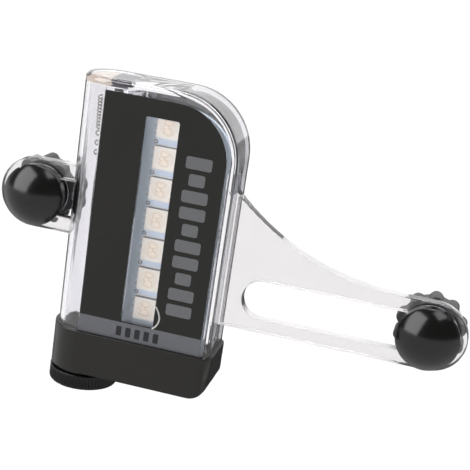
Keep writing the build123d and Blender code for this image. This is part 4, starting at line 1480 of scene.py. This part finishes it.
@dataclass
class Clamp:
    """One spoke clamp: dome head, threaded stud, washer, lobed nut and brass insert.

    Attributes:
        name: Side of the light, left or right.
        lobes: Number of lobes round the nut.
        lobe_mm: Radius of a lobe.
        valley_mm: Depth of the valleys between the lobes.
        blend_power: Exponent that blends lobes and valleys, where more is crisper.
        core_mm: Radius up to which the nut's faces stay round.
        nut_front_round_mm: Rounding of the nut's front edge.
        nut_round_mm: Rounding of its back edge.
        recess_mm: Radius of the mouth and of the floor of the recess in the nut's back, and
            its depth.
        nut_steps: Steps round the nut.
        washer_hole_mm: Radius of the washer's hole.
        insert_hole_mm: Radius of the insert's hole.
        pitch_mm: Rise of one turn of the thread.
        thread_mm: Depth of the thread.
        stud_end_mm: Width and height of the chamfer at the stud's ends.
    """

    name: str
    lobes: int = 10
    lobe_mm: float = 1.35
    valley_mm: float = 0.85
    blend_power: int = 28
    core_mm: float = 4.6
    nut_front_round_mm: float = 0.35
    nut_round_mm: float = 0.75
    recess_mm: tuple[float, float, float] = (4.2, 3.9, 0.35)
    nut_steps: int = 400
    washer_hole_mm: float = 1.7
    insert_hole_mm: float = 1.54
    pitch_mm: float = 0.5
    thread_mm: float = 0.28
    stud_end_mm: tuple[float, float] = (0.2, 0.15)

    def __post_init__(self) -> None:
        """Finds the clamp's axis and depths from the boxes of its CAD nodes."""
        self.washer = Span.of(f"{self.name}_washer")
        self.nut = Span.of(f"{self.name}_lobed_nut")
        self.insert = Span.of(f"{self.name}_nut_insert")
        self.stud = Span.of(f"{self.name}_stud")
        self.centre = np.array([self.washer.centre[0], 0.0, self.washer.centre[2]])

    def nut_body(self) -> Patch:
        """Lobed nut as one closed ring.

        The outline's radius at the angle t is the larger of the valleys' round and the lobes,
        blended as (valley^n + lobe^n)^(1/n). A lobe is a circle at the distance c: its far
        side is at c cos u + sqrt(lobe^2 - (c sin u)^2), where u is the angle from its middle.
        The radius takes a share of the outline that grows from the core to the tips.

        Returns:
            Vertices and quads.
        """
        tip = float(self.nut.size.max() / 2 / MM)
        t = full_turn(self.nut_steps)
        step = TURN / self.lobes
        u = (t % step) - step / 2
        c = tip - self.lobe_mm
        inside = np.clip(self.lobe_mm ** 2 - (c * np.sin(u)) ** 2, 0, None)
        lobe = np.where(inside > 0, c * np.cos(u) + np.sqrt(inside), 0.0)
        power = self.blend_power
        outline = ((tip - self.valley_mm) ** power + lobe ** power) ** (1 / power)
        front, back = self.nut.low[1] / MM, self.nut.high[1] / MM
        hole = self.insert.size[0] / 2 / MM
        mouth, floor, deep = self.recess_mm
        profile = rounded_profile([
            (hole, front, 0.0), (tip, front, self.nut_front_round_mm),
            (tip, back, self.nut_round_mm), (mouth, back, 0.2), (floor, back - deep, 0.2),
            (hole + 0.02, back - deep, 0.0)], 8)
        share = ramp(profile[:, :1] / MM - self.core_mm, tip - self.core_mm)
        return revolved(profile, self.centre, Axis.Y, self.nut_steps,
                        (outline - tip) * share * MM, closed=True)

    def threaded_stud(self) -> Patch:
        """Threaded stud: its radius loses the depth times the share that thread_hollow gives.

        The thread runs from the washer's front to the stud's end.

        Returns:
            Vertices and quads.
        """
        radius = self.stud.size[0] / 2 / MM
        low, high = self.stud.low[1] / MM, self.stud.high[1] / MM
        inset, tall = self.stud_end_mm
        rows = np.arange(low + inset, high - inset, self.pitch_mm / 8)
        height = np.concatenate([[low, low, low + tall], rows, [high - tall, high, high]])
        base = np.full_like(height, radius)
        base[[0, -1]] = 0.0
        base[[1, -2]] = radius - inset
        segments = 48
        hollow = thread_hollow(height[:, None], self.pitch_mm, full_turn(segments))
        cutting = (height[:, None] > self.washer.low[1] / MM) & (base[:, None] == radius)
        wave = -self.thread_mm * hollow * cutting * MM
        profile = np.column_stack([base, height]) * MM
        return revolved(profile, self.centre, Axis.Y, segments, wave)

    def ring(self, box: Span, hole: float, edge: float) -> Patch:
        """Flat ring with broken edges, as a closed loop carried round the clamp's axis.

        Args:
            box: Box of the CAD node.
            hole: Radius of the hole, in millimetres.
            edge: Rounding of the edges, in millimetres.

        Returns:
            Vertices and quads.
        """
        radius = box.size[0] / 2 / MM
        low, high = box.low[1] / MM, box.high[1] / MM
        middle = (low + high) / 2
        profile = rounded_profile([(hole, middle, 0.0), (hole, low, edge), (radius, low, edge),
                                   (radius, high, edge), (hole, high, edge),
                                   (hole, middle, 0.0)])[:-1]
        return revolved(profile, self.centre, Axis.Y, closed=True)

    def build(self) -> None:
        """Builds the five pieces and puts them on their bodies."""
        name = self.name
        dressed_copy(f"{name}_dome_head", f"{name}_clamp_dome", GLOSS_ABS, f"{name}_head",
                     sharp=40.0)
        pieces = (
            ("clamp_stud", self.threaded_stud(), ZINC, "head", "zinc_steel", "stud"),
            ("clamp_washer", self.ring(self.washer, self.washer_hole_mm, 0.08), ZINC, "carrier",
             "zinc_steel", "washer"),
            ("clamp_nut", self.nut_body(), NUT_NYLON, "nut", "black_abs", "lobed_nut"),
            ("clamp_nut_thread", self.ring(self.insert, self.insert_hole_mm, 0.15), BRASS, "nut",
             "brass", "nut_insert"),
        )
        for piece, patch, finish, body, slot, node in pieces:
            build_piece(f"{name}_{piece}", patch, finish, f"{name}_{body}", slot,
                        f"{name}_{node}")


def direction(azimuth: float, elevation: float) -> Vector:
    """Unit vector from the object towards a place round it.

    Args:
        azimuth: Degrees round from the front, positive to the right.
        elevation: Degrees above the horizon.

    Returns:
        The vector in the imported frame.
    """
    a, e = math.radians(azimuth), math.radians(elevation)
    return Vector((math.sin(a) * math.cos(e), -math.cos(a) * math.cos(e), math.sin(e)))


@dataclass(frozen=True)
class Softbox:
    """A soft light panel that faces the object.

    Attributes:
        name: Name of the light.
        azimuth: Degrees round from the front, positive to the right.
        elevation: Degrees above the horizon.
        distance: Metres from the object.
        size: Width and height in metres.
        radiance: Brightness of the panel, where 1 is a white surface's.
        role: Whether it makes reflections or lights the matt surfaces.
    """

    name: str
    azimuth: float
    elevation: float
    distance: float
    size: tuple[float, float]
    radiance: float
    role: Role

    def build(self, target: Vector) -> None:
        """Makes the panel, turned to the target.

        Args:
            target: Point that it faces.
        """
        light = bpy.data.lights.new(self.name, "AREA")
        light.shape = "RECTANGLE"
        light.size, light.size_y = self.size
        # A panel of power P and area A has the radiance P / (pi A).
        light.energy = self.radiance * math.pi * self.size[0] * self.size[1]
        panel = bpy.data.objects.new(self.name, light)
        bpy.context.scene.collection.objects.link(panel)
        way = direction(self.azimuth, self.elevation)
        panel.location = target + way * self.distance
        panel.rotation_euler = way.to_track_quat("Z", "Y").to_euler()
        panel.visible_camera = False
        panel.visible_transmission = False
        panel.visible_diffuse = self.role is Role.FILL
        panel.visible_glossy = self.role is Role.GLINT


@dataclass
class Studio:
    """Plain pale floor, soft light and the camera at the photograph's viewing angle.

    The places where the surroundings change are parts of a direction's unit vector: its Y from
    front to back, and its Z from below to above.

    Attributes:
        azimuth: Camera's degrees round from the front.
        elevation: Camera's degrees above the horizon.
        roll: Degrees that the camera is turned about its own axis.
        distance: Metres from the camera to its target.
        focal_px: Focal length in pixels of the square frame.
        frame_px: Side of that frame in pixels.
        sensor_mm: Width of the camera's sensor.
        clip: Nearest and farthest distance that the camera sees, in metres.
        target: Point that the camera and the panels face.
        floor_gap: Metres from the object's lowest point down to the floor.
        floor_size: Side of the floor in metres.
        sky: Brightness of the sky in front of the object and behind it.
        sky_turn: Y where the sky leaves the first of these and reaches the second.
        sky_seen: Brightness of the surroundings that the camera itself sees.
        horizon: Z where the ground ends and where the sky begins.
        ground: Brightness of the ground that reflections see, in front and behind.
        ground_turn: Y where the ground leaves the first of these and reaches the second.
        sun_strength: Strength of the top light.
        sun_degrees: Angle that it seems to fill.
        sun_way: Direction that it comes from.
    """

    azimuth: float = 10.94
    elevation: float = 16.0
    roll: float = 8.63
    distance: float = 0.24305
    focal_px: float = 1190.45
    frame_px: float = 470.0
    sensor_mm: float = 36.0
    clip: tuple[float, float] = (0.005, 200.0)
    target: tuple[float, float, float] = (0.04623, 0.0024, -0.00051)
    floor_gap: float = 0.11
    floor_size: float = 40.0
    sky: tuple[float, float] = (0.19, 1.12)
    sky_turn: tuple[float, float] = (-0.1, 0.45)
    sky_seen: float = 1.0
    horizon: tuple[float, float] = (-0.03, -0.01)
    ground: tuple[float, float] = (1.18, 0.1)
    ground_turn: tuple[float, float] = (0.3, 0.8)
    sun_strength: float = 1.9
    sun_degrees: float = 42.0
    sun_way: tuple[float, float, float] = (0.0, 0.3, 1.0)

    def place_camera(self) -> None:
        """Makes the camera: its axes are worked out from azimuth, elevation and roll."""
        a, r = math.radians(self.azimuth), math.radians(self.roll)
        back = direction(self.azimuth, self.elevation)
        level = Vector((math.cos(a), math.sin(a), 0.0))
        upright = back.cross(level)
        right = math.cos(r) * level + math.sin(r) * upright
        up = math.cos(r) * upright - math.sin(r) * level
        data = bpy.data.cameras.new("photo_camera")
        data.sensor_width = self.sensor_mm
        data.lens = self.focal_px / self.frame_px * self.sensor_mm
        data.clip_start, data.clip_end = self.clip
        camera = bpy.data.objects.new("photo_camera", data)
        bpy.context.scene.collection.objects.link(camera)
        turn = Matrix((right, up, back)).transposed().to_4x4()
        camera.matrix_world = Matrix.Translation(Vector(self.target) + back * self.distance) @ turn
        bpy.context.scene.camera = camera

    def surround(self) -> None:
        """Makes the surroundings: sky above, ground below, and one pale tone to the camera."""
        world = bpy.data.worlds.new("studio")
        bpy.context.scene.world = world
        world.use_nodes = True
        tree = world.node_tree
        tree.nodes.clear()
        way = add(tree, "ShaderNodeTexCoord").outputs["Generated"]
        axes = add(tree, "ShaderNodeSeparateXYZ", {0: way}).outputs
        sky = graded(tree, axes[1], self.sky_turn, self.sky, "SMOOTHSTEP")
        ground = graded(tree, axes[1], self.ground_turn, self.ground, "SMOOTHSTEP")
        below = graded(tree, axes[2], self.horizon, (1.0, 0.0))
        around = add(tree, "ShaderNodeMix", {0: below, 2: sky, 3: ground})
        seen = add(tree, "ShaderNodeLightPath").outputs["Is Camera Ray"]
        level = add(tree, "ShaderNodeMix", {0: seen, 2: around.outputs[0], 3: self.sky_seen})
        glow = add(tree, "ShaderNodeBackground",
                   {"Strength": level.outputs[0], "Color": (1.0, 1.0, 1.0, 1.0)})
        add(tree, "ShaderNodeOutputWorld", {"Surface": glow.outputs[0]})

    def lay_floor(self) -> None:
        """Lays the floor well below the object, where reflections see the ground instead."""
        half = self.floor_size / 2
        low = CAD_BOX[0].z - self.floor_gap
        corners = np.array([(-half, -half, low), (half, -half, low), (half, half, low),
                            (-half, half, low)])
        mesh = bpy.data.meshes.new("studio_floor")
        mesh.from_pydata(corners, [], [(0, 1, 2, 3)])
        mesh.materials.append(FLOOR.material())
        floor = bpy.data.objects.new("studio_floor", mesh)
        bpy.context.scene.collection.objects.link(floor)
        floor.visible_glossy = False

    def hang_lights(self) -> None:
        """Hangs two panels for the glints, one for the front's fill, and a soft top light."""
        target = Vector(self.target)
        panels = (
            Softbox("left_panel", -50.0, 28.0, 0.9, (0.80, 1.02), 6.2, Role.GLINT),
            Softbox("right_panel", 53.0, 64.0, 0.9, (0.40, 0.40), 4.5, Role.GLINT),
            Softbox("front_fill", -12.0, 9.0, 1.2, (0.60, 0.30), 11.0, Role.FILL),
        )
        for panel in panels:
            panel.build(target)
        sun = bpy.data.lights.new("top_light", "SUN")
        sun.energy = self.sun_strength
        sun.angle = math.radians(self.sun_degrees)
        lamp = bpy.data.objects.new("top_light", sun)
        lamp.rotation_euler = Vector(self.sun_way).to_track_quat("Z", "Y").to_euler()
        bpy.context.scene.collection.objects.link(lamp)

    def build(self) -> None:
        """Builds camera, surroundings, floor and lights."""
        bpy.context.scene.view_settings.view_transform = "Standard"
        self.place_camera()
        self.surround()
        self.lay_floor()
        self.hang_lights()


def main() -> None:
    """Builds the light's sub-assemblies in order."""
    logging.basicConfig(level=logging.INFO, format="%(message)s")
    Studio().build()
    columns = (LampColumn(Side.FRONT), LampColumn(Side.BACK))
    assemblies = [ClearCase(), Label(Side.FRONT), Label(Side.BACK), Electronics(), *columns,
                  BatteryBay(), Base(), ScrewCap(), Clamp("left"), Clamp("right")]
    for assembly in assemblies:
        assembly.build()
    Solder().build(columns)


if __name__ == "__main__":
    main()
